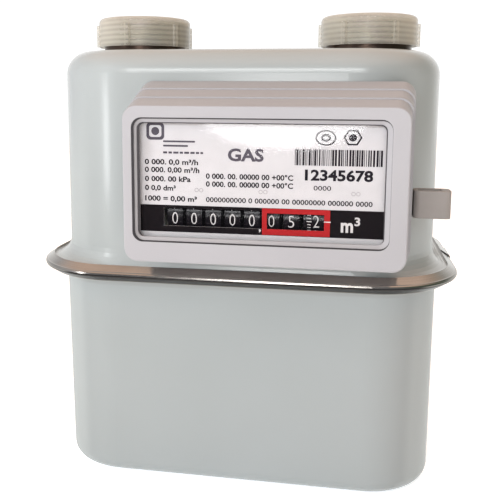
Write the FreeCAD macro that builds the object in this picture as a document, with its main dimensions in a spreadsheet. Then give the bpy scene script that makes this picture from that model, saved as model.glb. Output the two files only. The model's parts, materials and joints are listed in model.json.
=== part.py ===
"""Residential diaphragm gas meter: pressed steel case, index, and measuring unit.

The origin is on the underside of the lower case, below the point midway
between the two pipe connections.  +X is to the right, +Y to the back (the
index looks towards -Y) and +Z is up.  All lengths are in millimetres.
"""
import FreeCAD
import Part
import Sketcher
import math
import os
from FreeCAD import Placement, Rotation, Vector

# Each row is a sheet alias, its value in millimetres (or a count or degrees) and its meaning.
DIMENSIONS = [
    # Pressed steel case
    ("wall", 1.2, "sheet thickness of both case halves"),
    ("case_half", 86.1, "half width of the upper case"),
    ("case_front", -57.5, "front face of the upper case"),
    ("case_back", 60.0, "back face of both case halves"),
    ("case_corner", 40.0, "plan corner radius of the upper case"),
    ("case_top", 196.8, "top face of the upper case"),
    ("case_top_round", 10.5, "rounding between the top and the sides"),
    ("flare_high", 110.0, "where the upper wall starts to flare"),
    ("base_half", 87.8, "half width of the lower case"),
    ("base_front_high", -51.0, "front face of the lower case at its mouth"),
    ("base_front_low", -48.0, "front face of the lower case at its floor"),
    ("base_corner", 31.0, "plan corner radius of the lower case"),
    ("base_round", 4.8, "rounding between the floor and the sides"),
    ("flare_low", 92.0, "where the lower wall starts to flare"),
    # Flanges, gasket and clamp band
    ("rim_half", 96.6, "half width over the clamp band"),
    ("rim_front", -62.7, "front of the clamp band"),
    ("rim_back", 69.0, "back of the clamp band"),
    ("rim_corner", 38.5, "plan corner radius of the clamp band"),
    ("parting", 99.6, "parting plane between the case halves"),
    ("gasket_thick", 0.5, "thickness of the case gasket"),
    ("lip_wide", 4.2, "how far the band reaches in over the flanges"),
    ("band_edge", 1.3, "half height of the band's outer edge"),
    ("band_lip", 3.6, "half height of the band at its inner edge"),
    ("band_thick", 0.8, "thickness of the band"),
    ("band_round", 1.0, "rounding of the band's outer edge"),
    ("lap_front", -1.0, "where the overlapping end of the band stops"),
    ("lap_long", 15.0, "length of the band's overlap"),
    ("lap_thick", 0.45, "extra thickness at the overlap"),
    # Pipe connections and their transport caps
    ("port_half", 55.0, "half of the connection spacing"),
    ("thread_radius", 20.955, "crest radius of the G 1 1/4 thread"),
    ("thread_root", 19.85, "root radius of the thread"),
    ("thread_pitch", 2.309, "thread pitch"),
    ("crest_wide", 0.9, "width of each thread crest"),
    ("thread_start", 201.0, "height of the first crest"),
    ("thread_count", 5, "number of crests"),
    ("port_top", 212.0, "top of the connections"),
    ("port_bore", 17.6, "bore radius of the connections"),
    ("port_neck", 20.0, "neck radius through the case top"),
    ("port_collar", 24.5, "radius of the collar under the case top"),
    ("port_low", 186.0, "lower end of the connections"),
    ("cap_radius", 22.5, "outer radius of a transport cap"),
    ("cap_bore", 21.85, "inner radius of a transport cap"),
    ("cap_low", 200.3, "lower rim of a transport cap"),
    ("cap_high", 214.0, "top of a transport cap"),
    ("cap_round", 2.2, "rounding of the cap's top edge"),
    ("rib_count", 6, "grip ribs on a cap"),
    ("rib_high", 1.2, "how far a rib stands out"),
    ("rib_wide", 2.2, "width of a rib"),
    ("rib_top", 210.6, "upper end of the ribs"),
    # Index cover, window, plate and seal lug
    ("cover_left", -39.8, "left side of the index cover"),
    ("cover_right", 69.6, "right side of the cover at its face"),
    ("cover_low", 111.8, "underside of the cover"),
    ("cover_high", 173.2, "top edge of the cover's face"),
    ("cover_front", -84.0, "face of the index cover"),
    ("cover_wall", 2.2, "wall thickness of the cover"),
    ("cover_corner", 5.6, "corner radius of the cover's face"),
    ("tier_deep", 8.5, "depth of each tier of the stepped top"),
    ("tier_rise", 2.9, "how far a tier's top slopes up"),
    ("tier_step", 0.55, "upright step from one tier to the next"),
    ("tier_flare", 0.7, "how far a tier's right side slopes out"),
    ("cover_back", -46.0, "rear end of the cover before it is fitted to the case"),
    ("fit_gap", 0.15, "gap between the cover and the case"),
    ("pane_left", -36.3, "left edge of the window recess"),
    ("pane_right", 63.2, "right edge of the window recess"),
    ("pane_low", 119.8, "lower edge of the window recess"),
    ("pane_high", 168.9, "upper edge of the window recess"),
    ("pane_corner", 4.2, "corner radius of the window recess"),
    ("pane_slope", 2.0, "how far the recess narrows"),
    ("pane_deep", 1.3, "depth of the sloping recess"),
    ("pane_thick", 1.2, "thickness of the window"),
    ("pane_overlap", 1.4, "how far the window reaches behind the recess"),
    ("plate_gap", 1.0, "gap between window and data plate"),
    ("plate_thick", 0.5, "thickness of the data plate"),
    ("slot_low", 125.9, "lower edge of the counter slot"),
    ("slot_high", 133.1, "upper edge of the counter slot"),
    ("slot_left", -24.4, "left end of the counter slot"),
    ("slot_right", 41.9, "right end of the counter slot"),
    ("lug_right", 87.2, "outer end of the seal lug"),
    ("lug_low", 129.8, "underside of the seal lug"),
    ("lug_high", 140.8, "top of the seal lug"),
    ("lug_front", -66.4, "front of the seal lug"),
    ("lug_back", -57.4, "back of the seal lug"),
    ("lug_wall", 1.8, "wall thickness of the seal lug"),
    ("lug_corner", 2.6, "outer corner radius of the seal lug"),
    # Counter
    ("drum_y", -68.6, "counter axis"),
    ("drum_z", 129.4, "counter axis"),
    ("drum_radius", 9.6, "radius of a number drum"),
    ("drum_first", -20.2, "middle of the first drum"),
    ("drum_pitch", 7.7, "spacing of the drums"),
    ("drum_wide", 6.2, "width of a drum's rim"),
    ("last_drum_left", 30.6, "left side of the last drum"),
    ("last_drum_right", 41.3, "right side of the last drum"),
    ("drum_bore", 1.26, "bore of the drums"),
    ("drum_shaft_radius", 1.2, "counter shaft radius"),
    ("drum_teeth", 20, "teeth on a drum's slow side"),
    ("carry_teeth", 8, "teeth on a carry pinion"),
    ("carry_module", 0.75, "module of the carry gearing"),
    ("carry_tilt", -72.0, "direction from counter axis to carry shaft, degrees"),
    ("carry_shaft_radius", 0.9, "carry shaft radius"),
    ("ring_wide", 0.6, "width of the toothed ring on a drum"),
    ("carry_wide", 1.2, "width of a carry pinion"),
    # Index drive
    ("fine_module", 0.3, "module of the index gears"),
    ("coupling_z", 145.9, "height of the magnetic coupling"),
    ("coupling_x", -10.5, "sideways place of the magnetic coupling"),
    ("cup_radius", 5.9, "outer radius of the coupling cup"),
    ("cup_bore", 5.2, "inner radius of the coupling cup"),
    ("cup_front", -62.2, "closed end of the coupling cup"),
    # Inner drive
    ("crank_y", 4.0, "crank axis, front to back"),
    ("drive_z", 127.0, "height of the drive shaft"),
    ("crown_module", 0.5, "module of the crank's crown wheel"),
    ("crank_throw", 8.5, "radius of the crank pin"),
    # Measuring unit
    ("unit_half", 79.0, "half width of the measuring unit"),
    ("unit_low", 7.0, "underside of the chamber body"),
    ("unit_high", 95.0, "top of the chamber body"),
    ("unit_half_deep", 19.0, "half depth of the chamber body"),
    ("partition_half", 1.5, "half thickness of the partition"),
    ("chamber_half", 75.0, "half width inside a chamber"),
    ("chamber_margin", 4.0, "wall above and below a chamber"),
    ("table_high", 99.0, "top of the valve table"),
    ("cover_deep", 18.0, "depth of a chamber cover"),
    ("cloth_thick", 0.5, "thickness of a diaphragm"),
    ("rod_reach", 70.0, "sideways place of a flag rod"),
    ("rod_off", 5.0, "distance of a flag rod from the unit's middle plane"),
    ("rod_radius", 1.5, "flag rod radius"),
    ("flag_long", 60.0, "length of a flag"),
    ("flag_tip_off", 14.25, "distance of a flag's tip from the middle plane"),
    ("pan_half", 61.0, "half width of a diaphragm pan"),
    ("outlet_radius", 17.5, "outer radius of the outlet pipe in the connection"),
    ("outlet_narrow", 12.0, "outer radius of the outlet pipe's lower length"),
]


class Size:
    """A length that carries its value and the sheet expression that drives it."""

    def __init__(self, text, value):
        self.text = text
        self.value = value

    def __add__(self, other):
        other = as_size(other)
        return Size("(%s + %s)" % (self.text, other.text), self.value + other.value)

    def __radd__(self, other):
        return as_size(other) + self

    def __sub__(self, other):
        other = as_size(other)
        return Size("(%s - %s)" % (self.text, other.text), self.value - other.value)

    def __rsub__(self, other):
        return as_size(other) - self

    def __mul__(self, factor):
        factor = as_size(factor)
        return Size("(%s * %s)" % (self.text, factor.text), self.value * factor.value)

    def __rmul__(self, factor):
        return self * factor

    def __truediv__(self, divisor):
        divisor = as_size(divisor)
        return Size("(%s / %s)" % (self.text, divisor.text), self.value / divisor.value)

    def __neg__(self):
        return Size("(0 - %s)" % self.text, -self.value)


def as_size(number):
    """A plain number as a Size; a Size as it is."""
    if isinstance(number, Size):
        return number
    return Size(repr(float(number)), float(number))


class Sheet:
    """The spreadsheet of driving dimensions; each alias reads as a Size."""

    def __init__(self, document):
        self.cells = document.addObject("Spreadsheet::Sheet", "dims")
        for row, (alias, number, meaning) in enumerate(DIMENSIONS, start=1):
            self.cells.set("A%d" % row, meaning)
            self.cells.set("B%d" % row, str(number))
            self.cells.setAlias("B%d" % row, alias)
        document.recompute()

    def __getattr__(self, alias):
        return Size("dims." + alias, float(self.cells.get(alias)))


doc = FreeCAD.newDocument("gas_meter")
dims = Sheet(doc)
nodes = []


def node(label, item):
    """Give a finished sub-part its label and list it for export."""
    item.Label = label
    nodes.append(item)
    return item


def bind(item, name, size):
    """Drive one property of an object from the sheet."""
    item.setExpression(name, as_size(size).text)


def move(item, x=0, y=0, z=0, turn=None):
    """Place an object, its position driven from the sheet."""
    item.Placement = Placement(Vector(), turn or Rotation())
    for axis, size in (("x", x), ("y", y), ("z", z)):
        bind(item, "Placement.Base." + axis, size)
    return item


def numbers(*sizes):
    """The plain values of some sizes."""
    return [as_size(size).value for size in sizes]


# ---------------------------------------------------------------- sketches and features

PLANE_SIGN = {"XY_Plane": 1, "XZ_Plane": -1, "YZ_Plane": 1}


def new_body(name):
    """An empty PartDesign body."""
    return doc.addObject("PartDesign::Body", name)


def sketch_on(body, role, level):
    """A sketch on an origin plane of its body, moved to a coordinate along the plane's axis."""
    sketch = body.newObject("Sketcher::SketchObject", "outline")
    plane = [item for item in body.Origin.OriginFeatures if item.Role == role][0]
    sketch.AttachmentSupport = (plane, [""])
    sketch.MapMode = "FlatFace"
    bind(sketch, "AttachmentOffset.Base.z", PLANE_SIGN[role] * as_size(level))
    return sketch


def hold(sketch, kind, size, *target):
    """Add a dimension to a sketch and drive it from the sheet."""
    size = as_size(size)
    number = sketch.addConstraint(Sketcher.Constraint(kind, *target, size.value))
    sketch.setExpression("Constraints[%d]" % number, size.text)


def polygon(body, role, level, corners):
    """A closed outline of straight edges."""
    sketch = sketch_on(body, role, level)
    points = [Vector(*numbers(across, up)) for across, up in corners]
    count = len(points)
    for index in range(count):
        sketch.addGeometry(Part.LineSegment(points[index], points[(index + 1) % count]))
    for index in range(count):
        sketch.addConstraint(Sketcher.Constraint("Coincident", index, 2, (index + 1) % count, 1))
    for index, (across, up) in enumerate(corners):
        hold(sketch, "DistanceX", across, -1, 1, index, 1)
        hold(sketch, "DistanceY", up, -1, 1, index, 1)
    return sketch


def circles(body, role, level, places):
    """A sketch of circles, each given as its centre and radius."""
    sketch = sketch_on(body, role, level)
    for index, (across, up, radius) in enumerate(places):
        centre = Vector(*numbers(across, up))
        sketch.addGeometry(Part.Circle(centre, Vector(0, 0, 1), as_size(radius).value))
        hold(sketch, "DistanceX", across, -1, 1, index, 3)
        hold(sketch, "DistanceY", up, -1, 1, index, 3)
        hold(sketch, "Radius", radius, index)
    return sketch


def rounded_rect(body, role, level, box, radius):
    """A rectangle with round corners; box is left, right, low and high."""
    sketch = sketch_on(body, role, level)
    left, right, low, high = box
    x_low, x_high, y_low, y_high, bend = numbers(left, right, low, high, radius)
    straight = [
        ((x_low + bend, y_low), (x_high - bend, y_low)),
        ((x_high, y_low + bend), (x_high, y_high - bend)),
        ((x_high - bend, y_high), (x_low + bend, y_high)),
        ((x_low, y_high - bend), (x_low, y_low + bend)),
    ]
    centres = [(x_high - bend, y_low + bend), (x_high - bend, y_high - bend),
               (x_low + bend, y_high - bend), (x_low + bend, y_low + bend)]
    quarter = math.pi / 2
    for index in range(4):
        start, end = straight[index]
        sketch.addGeometry(Part.LineSegment(Vector(*start), Vector(*end)))
        circle = Part.Circle(Vector(*centres[index]), Vector(0, 0, 1), bend)
        sketch.addGeometry(Part.ArcOfCircle(circle, (index - 1) * quarter, index * quarter))
    for index in range(4):
        line, arc, following = 2 * index, 2 * index + 1, (2 * index + 2) % 8
        sketch.addConstraint(Sketcher.Constraint("Tangent", line, 2, arc, 1))
        sketch.addConstraint(Sketcher.Constraint("Tangent", arc, 2, following, 1))
        sketch.addConstraint(Sketcher.Constraint("Vertical" if index % 2 else "Horizontal", line))
        if index:
            sketch.addConstraint(Sketcher.Constraint("Equal", 1, arc))
    hold(sketch, "Radius", radius, 1)
    hold(sketch, "DistanceY", low, -1, 1, 0, 1)
    hold(sketch, "DistanceX", right, -1, 1, 2, 1)
    hold(sketch, "DistanceY", high, -1, 1, 4, 1)
    hold(sketch, "DistanceX", left, -1, 1, 6, 1)
    return sketch


def grow(body, kind, sketch, **settings):
    """Add a feature made from one sketch; Size settings are driven from the sheet."""
    feature = body.newObject("PartDesign::" + kind, kind.lower())
    feature.Profile = sketch
    for name, setting in settings.items():
        if isinstance(setting, Size):
            bind(feature, name, setting)
        else:
            setattr(feature, name, setting)
    doc.recompute()
    return feature


def pad(body, sketch, length, backwards=False):
    """Extrude a sketch along its normal, or against it."""
    return grow(body, "Pad", sketch, Length=as_size(length), Reversed=backwards)


def pocket(body, sketch, length, backwards=False):
    """Cut a sketch into the solid; backwards cuts along the sketch's normal."""
    before = body.Shape.Volume
    feature = grow(body, "Pocket", sketch, Length=as_size(length), Reversed=backwards)
    if before - body.Shape.Volume < 0.01:
        raise RuntimeError("a pocket in %s cuts nothing" % body.Name)
    return feature


def loft(body, sections, cut=False, ruled=True):
    """Add or cut a solid through several outlines."""
    kind = "SubtractiveLoft" if cut else "AdditiveLoft"
    feature = body.newObject("PartDesign::" + kind, kind.lower())
    feature.Profile = sections[0]
    feature.Sections = sections[1:]
    feature.Ruled = ruled
    doc.recompute()
    return feature


def fillet(body, radius, wanted):
    """Round every edge of the body's last feature for which wanted(edge) is true."""
    base = body.Tip
    names = ["Edge%d" % (index + 1) for index, edge in enumerate(base.Shape.Edges) if wanted(edge)]
    if not names:
        raise RuntimeError("no edge to round in %s" % body.Name)
    feature = body.newObject("PartDesign::Fillet", "fillet")
    feature.Base = (base, names)
    bind(feature, "Radius", radius)
    doc.recompute()
    return feature


def flat_at(height, axis="z", spread=0.01):
    """A test for edges that lie wholly at one coordinate."""
    height = as_size(height).value

    def wanted(edge):
        box = edge.BoundBox
        low, high = getattr(box, axis.upper() + "Min"), getattr(box, axis.upper() + "Max")
        return abs(low - height) < spread and abs(high - height) < spread

    return wanted


def turned(name, profile):
    """A body of revolution about Z; the profile is radius and height pairs."""
    body = new_body(name)
    sketch = polygon(body, "XZ_Plane", 0, profile)
    grow(body, "Revolution", sketch, ReferenceAxis=(sketch, ["V_Axis"]), Angle=360.0)
    return body


# ---------------------------------------------------------------- primitives and booleans

ALONG_X = Rotation(Vector(0, 1, 0), 90)
ALONG_Y = Rotation(Vector(1, 0, 0), -90)
ALONG_MINUS_Y = Rotation(Vector(1, 0, 0), 90)


def rod(radius, length, x=0, y=0, z=0, turn=None):
    """A round bar that starts at a point and runs along Z, or along Z turned by a rotation."""
    item = doc.addObject("Part::Cylinder", "rod")
    bind(item, "Radius", radius)
    bind(item, "Height", length)
    return move(item, x, y, z, turn)


def block(x_low, x_high, y_low, y_high, z_low, z_high):
    """A rectangular block between two corners."""
    item = doc.addObject("Part::Box", "block")
    bind(item, "Length", as_size(x_high) - x_low)
    bind(item, "Width", as_size(y_high) - y_low)
    bind(item, "Height", as_size(z_high) - z_low)
    return move(item, x_low, y_low, z_low)


def fuse(*parts):
    """Several solids joined into one."""
    item = doc.addObject("Part::MultiFuse", "fuse")
    item.Shapes = list(parts)
    item.Refine = True
    return item


def cut(base, *tools):
    """One solid with others taken away."""
    item = doc.addObject("Part::Cut", "cut")
    item.Base = base
    item.Tool = tools[0] if len(tools) == 1 else fuse(*tools)
    item.Refine = True
    return item


def feature(name, shape, place=None):
    """A solid made by Part's own functions, placed after its shape is set."""
    item = doc.addObject("Part::Feature", name)
    item.Shape = shape
    item.Placement = place or Placement()
    return item


# ---------------------------------------------------------------- case outlines


def plan_outline(half, front, back, corner, inset=0.0):
    """Left, right, front, back and corner radius of a plan outline drawn inwards by inset."""
    box = (inset - half, half - inset, front + inset, back - inset)
    return box, corner - inset


def rim_outline(inset):
    """The clamp band's plan outline, drawn inwards."""
    return plan_outline(dims.rim_half, dims.rim_front, dims.rim_back, dims.rim_corner, as_size(inset))


def upper_outline(inset=0.0):
    """The upper case's plan outline."""
    return plan_outline(dims.case_half, dims.case_front, dims.case_back, dims.case_corner,
                        as_size(inset))


def lower_outline(front, inset=0.0):
    """The lower case's plan outline with its front face at a given depth."""
    return plan_outline(dims.base_half, front, dims.case_back, dims.base_corner, as_size(inset))


def between(first, second, share):
    """The outline a given share of the way from one outline to another."""
    boxes = zip(first[0], second[0])
    box = tuple(low * (1 - share) + high * share for low, high in boxes)
    return box, first[1] * (1 - share) + second[1] * share


def plan(body, level, outline):
    """A plan outline as a sketch at a height."""
    return rounded_rect(body, "XY_Plane", level, *outline)


# Steps that stand for a quarter turn: of the flange's flare, the floor's edge and the band's nose.
FLARE_STEPS = 6
BASE_STEPS = 4
NOSE_STEPS = 3
# Play between a hole or seat and what goes through or lies in it.
PLAY = 0.05


def quarter_turn(steps):
    """Even steps of a quarter turn, ends included, in radians."""
    return [math.pi / 2 * step / steps for step in range(steps + 1)]


def flange_sections(body, wall_outline, wall_level, side):
    """Outlines of one case half's flange: a flare out of the wall, then a sloping rim.

    side is +1 for the upper half and -1 for the lower one.
    """
    face = dims.parting + side * dims.gasket_thick / 2
    under_lip = dims.parting + side * (dims.band_lip - dims.band_thick - 0.15)
    under_edge = face + side * 0.35
    flange = rim_outline(dims.lip_wide)
    edge = rim_outline(dims.band_thick + 0.3)
    sections = []
    for angle in quarter_turn(FLARE_STEPS):
        level = under_lip + (wall_level - under_lip) * (1 - math.sin(angle))
        sections.append(plan(body, level, between(wall_outline, flange, 1 - math.cos(angle))))
    sections.append(plan(body, under_edge, edge))
    sections.append(plan(body, face, edge))
    return sections


def mouth_sections(body, wall_outline, throat, face):
    """Outlines of the open mouth inside a case half, widening towards the flange."""
    rim = rim_outline(dims.lip_wide + dims.wall)
    middle = (throat + face) / 2
    return [plan(body, throat, wall_outline),
            plan(body, middle, between(wall_outline, rim, 0.15)),
            plan(body, face, between(wall_outline, rim, 0.5))]


def upper_case():
    """The deep-drawn upper half, open below, with holes for the connections and the coupling."""
    body = new_body("upper_shell")
    outline = upper_outline()
    pad(body, plan(body, dims.flare_high, outline), dims.case_top - dims.flare_high)
    fillet(body, dims.case_top_round, flat_at(dims.case_top))
    loft(body, flange_sections(body, outline, dims.flare_high, 1))
    inner = upper_outline(dims.wall)
    throat = dims.parting + 6
    cavity = new_body("upper_cavity")
    inner_top = dims.case_top - dims.wall
    pad(cavity, plan(cavity, throat, inner), inner_top - throat)
    fillet(cavity, dims.case_top_round - dims.wall, flat_at(inner_top))
    mouth = new_body("upper_mouth")
    loft(mouth, mouth_sections(mouth, inner, throat, dims.parting))
    holes = [rod(dims.port_neck + PLAY, 10, side * dims.port_half, 0, dims.case_top - 5)
             for side in (-1, 1)]
    cup_hole = rod(dims.cup_radius + PLAY, 6, dims.coupling_x, dims.case_front - 2,
                   dims.coupling_z, ALONG_Y)
    hollow = cut(body, cavity)
    return node("upper_case", cut(hollow, mouth, cup_hole, *holes))


def lower_case():
    """The deep-drawn lower half: a slightly tapered cup with a flared flange."""
    body = new_body("lower_shell")
    high = lower_outline(dims.base_front_high)
    sections = []
    for angle in quarter_turn(BASE_STEPS):
        inset = dims.base_round * (1 - math.sin(angle))
        level = dims.base_round * (1 - math.cos(angle))
        sections.append(plan(body, level, lower_outline(dims.base_front_low, inset)))
    loft(body, sections + flange_sections(body, high, dims.flare_low, -1))
    inside = new_body("lower_cavity")
    throat = dims.parting - 6
    wall_in = lower_outline(dims.base_front_high, dims.wall)
    sections = []
    for angle in quarter_turn(BASE_STEPS):
        inset = dims.wall + (dims.base_round - dims.wall) * (1 - math.sin(angle))
        level = dims.wall + (dims.base_round - dims.wall) * (1 - math.cos(angle))
        sections.append(plan(inside, level, lower_outline(dims.base_front_low, inset)))
    loft(inside, sections + mouth_sections(inside, wall_in, throat, dims.parting))
    return node("lower_case", cut(body, inside))


def case_gasket():
    """The flat rubber ring between the two flanges."""
    body = new_body("case_gasket")
    low = dims.parting - dims.gasket_thick / 2
    pad(body, plan(body, low, rim_outline(dims.band_thick + 0.4)), dims.gasket_thick)
    pocket(body, plan(body, low, rim_outline(dims.lip_wide + 0.8)), dims.gasket_thick, True)
    return node("case_gasket", body)


def band_ring(name, growth):
    """The clamp band as a closed ring of V section, its outside grown by a little."""
    body = new_body(name)
    lip = dims.band_lip + growth
    edge = dims.band_edge + growth
    lip_outline = rim_outline(dims.lip_wide)
    sections = [plan(body, dims.parting - lip, lip_outline)]
    for step in range(-NOSE_STEPS, NOSE_STEPS + 1):
        angle = math.pi / 2 * step / NOSE_STEPS
        inset = dims.band_round * (1 - math.cos(angle)) - growth
        sections.append(plan(body, dims.parting + edge * math.sin(angle), rim_outline(inset)))
    sections.append(plan(body, dims.parting + lip, lip_outline))
    loft(body, sections)
    slot = new_body(name + "_slot")
    slot_edge = dims.band_edge - 0.5
    slot_lip = dims.band_lip - dims.band_thick + 0.2
    inner = rim_outline(dims.band_thick + 0.2)
    reach = rim_outline(dims.lip_wide + 0.5)
    loft(slot, [plan(slot, dims.parting - slot_lip, reach),
                plan(slot, dims.parting - slot_edge, inner),
                plan(slot, dims.parting + slot_edge, inner),
                plan(slot, dims.parting + slot_lip, reach)])
    opening = new_body(name + "_opening")
    pad(opening, plan(opening, dims.parting - 8, rim_outline(dims.lip_wide)), 16)
    return cut(cut(body, slot), opening)


def clamp_band():
    """The stainless band that clamps the flanges; its ends overlap on the right-hand side."""
    ring = band_ring("band", 0.0)
    outer = band_ring("band_overlap", dims.lap_thick)
    zone = block(dims.rim_half - 20, dims.rim_half + 5, dims.lap_front,
                 dims.lap_front + dims.lap_long, dims.parting - 6, dims.parting + 6)
    lap = doc.addObject("Part::Common", "lap")
    lap.Base = outer
    lap.Tool = zone
    return node("clamp_band", fuse(ring, lap))


# ---------------------------------------------------------------- connections and caps


def connector(name, side):
    """A zinc-plated steel stub: collar inside the case, neck through its top, threaded end."""
    profile = [(dims.port_bore, dims.port_low), (dims.port_bore + 1.9, dims.port_low),
               (dims.port_bore + 1.9, dims.case_top - dims.wall - 3),
               (dims.port_collar, dims.case_top - dims.wall - 3),
               (dims.port_collar, dims.case_top - dims.wall - 1.7),
               (dims.port_neck, dims.case_top - dims.wall),
               (dims.port_neck, dims.thread_start - 0.6)]
    for crest in range(int(dims.thread_count.value)):
        start = dims.thread_start + crest * dims.thread_pitch
        if crest:
            profile.append((dims.thread_root, start - 0.45))
        profile.append((dims.thread_radius, start))
        profile.append((dims.thread_radius, start + dims.crest_wide))
        profile.append((dims.thread_root, start + dims.crest_wide + 0.45))
    profile += [(dims.thread_root, dims.port_top), (dims.port_bore, dims.port_top)]
    return node(name, move(turned(name, profile), side * dims.port_half))


def transport_cap(name, side, first_rib):
    """A thin push-on plastic cap with grip ribs round its skirt."""
    profile = [(0, dims.port_top), (dims.cap_bore, dims.port_top), (dims.cap_bore, dims.cap_low),
               (dims.cap_radius, dims.cap_low), (dims.cap_radius, dims.cap_high),
               (0, dims.cap_high)]
    body = turned(name, profile)
    fillet(body, dims.cap_round, flat_at(dims.cap_high))
    half = dims.rib_wide / 2
    rib = rounded_rect(body, "XY_Plane", dims.cap_low,
                       (dims.cap_radius - 0.4, dims.cap_radius + dims.rib_high, -half, half),
                       as_size(0.35))
    first = pad(body, rib, dims.rib_top - dims.cap_low)
    pattern = body.newObject("PartDesign::PolarPattern", "ribs")
    pattern.Originals = [first]
    axis = [item for item in body.Origin.OriginFeatures if item.Role == "Z_Axis"][0]
    pattern.Axis = (axis, [""])
    pattern.Angle = 360.0
    bind(pattern, "Occurrences", dims.rib_count)
    body.Tip = pattern
    doc.recompute()
    turn = Rotation(Vector(0, 0, 1), first_rib)
    return node(name, move(body, side * dims.port_half, turn=turn))


# ---------------------------------------------------------------- index cover


def face_outline(rise, flare):
    """The cover's outline seen from the front, its top raised and its right side moved out."""
    box = (dims.cover_left, dims.cover_right + flare, dims.cover_low, dims.cover_high + rise)
    return box, dims.cover_corner


def index_cover():
    """The grey plastic hood: three tiers that step up towards the case, and a window recess."""
    body = new_body("index_cover")
    tiers = 3
    for tier in range(tiers):
        front = dims.cover_front + tier * dims.tier_deep
        rise = tier * (dims.tier_rise + dims.tier_step)
        flare = tier * (dims.tier_flare + dims.tier_step)
        low = rounded_rect(body, "XZ_Plane", front, *face_outline(rise, flare))
        high = rounded_rect(body, "XZ_Plane", front + dims.tier_deep,
                            *face_outline(rise + dims.tier_rise, flare + dims.tier_flare))
        loft(body, [low, high])
    depth = dims.cover_front + tiers * dims.tier_deep
    rise = tiers * dims.tier_rise + (tiers - 1) * dims.tier_step
    flare = tiers * dims.tier_flare + (tiers - 1) * dims.tier_step
    rear = rounded_rect(body, "XZ_Plane", depth, *face_outline(rise, flare))
    pad(body, rear, dims.cover_back - depth, backwards=True)
    fillet(body, as_size(0.7), flat_at(dims.cover_front, "y"))
    case_shape = upper_outline(-dims.fit_gap)
    pocket(body, plan(body, dims.cover_low - 5, case_shape), 90, True)
    inner = rounded_rect(body, "XZ_Plane", dims.cover_front + dims.cover_wall,
                         (dims.cover_left + dims.cover_wall, dims.cover_right - dims.cover_wall,
                          dims.cover_low + dims.cover_wall, dims.cover_high - dims.cover_wall),
                         dims.cover_corner - dims.cover_wall)
    pocket(body, inner, 45)
    recess = [rounded_rect(body, "XZ_Plane", dims.cover_front + depth, *pane_outline(inset))
              for depth, inset in ((-0.2, -0.2), (dims.pane_deep, dims.pane_slope))]
    loft(body, recess, cut=True)
    opening = rounded_rect(body, "XZ_Plane", dims.cover_front - 1, *pane_outline(dims.pane_slope))
    pocket(body, opening, 6)
    return node("index_cover", body)


def pane_outline(inset):
    """The window recess seen from the front, drawn inwards."""
    inset = as_size(inset)
    box = (dims.pane_left + inset, dims.pane_right - inset,
           dims.pane_low + inset, dims.pane_high - inset)
    return box, dims.pane_corner - inset * 0.8


def index_window():
    """The clear pane behind the recess."""
    body = new_body("index_window")
    outline = pane_outline(dims.pane_slope - dims.pane_overlap)
    front = dims.cover_front + dims.cover_wall
    pad(body, rounded_rect(body, "XZ_Plane", front, *outline), dims.pane_thick, backwards=True)
    return node("index_window", body)


def plate_front():
    """The depth of the data plate's printed face."""
    return dims.cover_front + dims.cover_wall + dims.pane_thick + dims.plate_gap


def data_plate():
    """The printed plate behind the window, with the slot that shows the drums."""
    body = new_body("data_plate")
    outline = pane_outline(dims.pane_slope - 0.8)
    pad(body, rounded_rect(body, "XZ_Plane", plate_front(), *outline), dims.plate_thick, True)
    slot = rounded_rect(body, "XZ_Plane", plate_front() - 1,
                        (dims.slot_left, dims.slot_right, dims.slot_low, dims.slot_high),
                        as_size(0.5))
    pocket(body, slot, 3)
    return node("data_plate", body)


def cover_side():
    """The cover's right-hand side where the seal lug grows out of it."""
    return dims.cover_right + 3 * dims.tier_flare + 2 * dims.tier_step


def seal_lug():
    """The loop beside the cover through which a sealing wire goes."""
    body = new_body("seal_lug")
    box = (cover_side(), dims.lug_right, dims.lug_front, dims.lug_back)
    pad(body, rounded_rect(body, "XY_Plane", dims.lug_low, box, dims.lug_corner),
        dims.lug_high - dims.lug_low)
    hollow = (cover_side() + dims.lug_wall, dims.lug_right - 2 * dims.lug_wall,
              dims.lug_front + dims.lug_wall, dims.lug_back - dims.lug_wall)
    pocket(body, rounded_rect(body, "XY_Plane", dims.lug_low - 1, hollow, as_size(1.2)), 20, True)
    fillet(body, as_size(0.4), flat_at(dims.lug_high))
    return node("seal_lug", body)


# ---------------------------------------------------------------- gears

ROOT_SHARE = 0.62
TIP_SHARE = 0.24


def gear_face(teeth, module, phase=0.0):
    """A spur gear outline: slender straight-sided teeth with backlash on both sides."""
    root = module * (teeth / 2 - 1.1)
    tip = module * (teeth / 2 + 0.8)
    step = math.pi / teeth
    points = []
    for tooth in range(teeth):
        middle = phase + 2 * step * tooth
        for radius, offset in ((root, -ROOT_SHARE), (tip, -TIP_SHARE),
                               (tip, TIP_SHARE), (root, ROOT_SHARE)):
            angle = middle + offset * step
            points.append(Vector(radius * math.cos(angle), radius * math.sin(angle), 0))
    return Part.Face(Part.makePolygon(points + [points[0]]))


def spur(teeth, module, width, level=0.0, phase=0.0):
    """A spur gear solid on the Z axis, starting at a height."""
    wheel = gear_face(teeth, module, phase).extrude(Vector(0, 0, width))
    wheel.translate(Vector(0, 0, level))
    return wheel


def tube(outer, inner, low, high):
    """A round tube or disc on the Z axis between two heights."""
    solid = Part.makeCylinder(outer, high - low, Vector(0, 0, low))
    if inner:
        solid = solid.cut(Part.makeCylinder(inner, high - low, Vector(0, 0, low)))
    return solid


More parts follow.
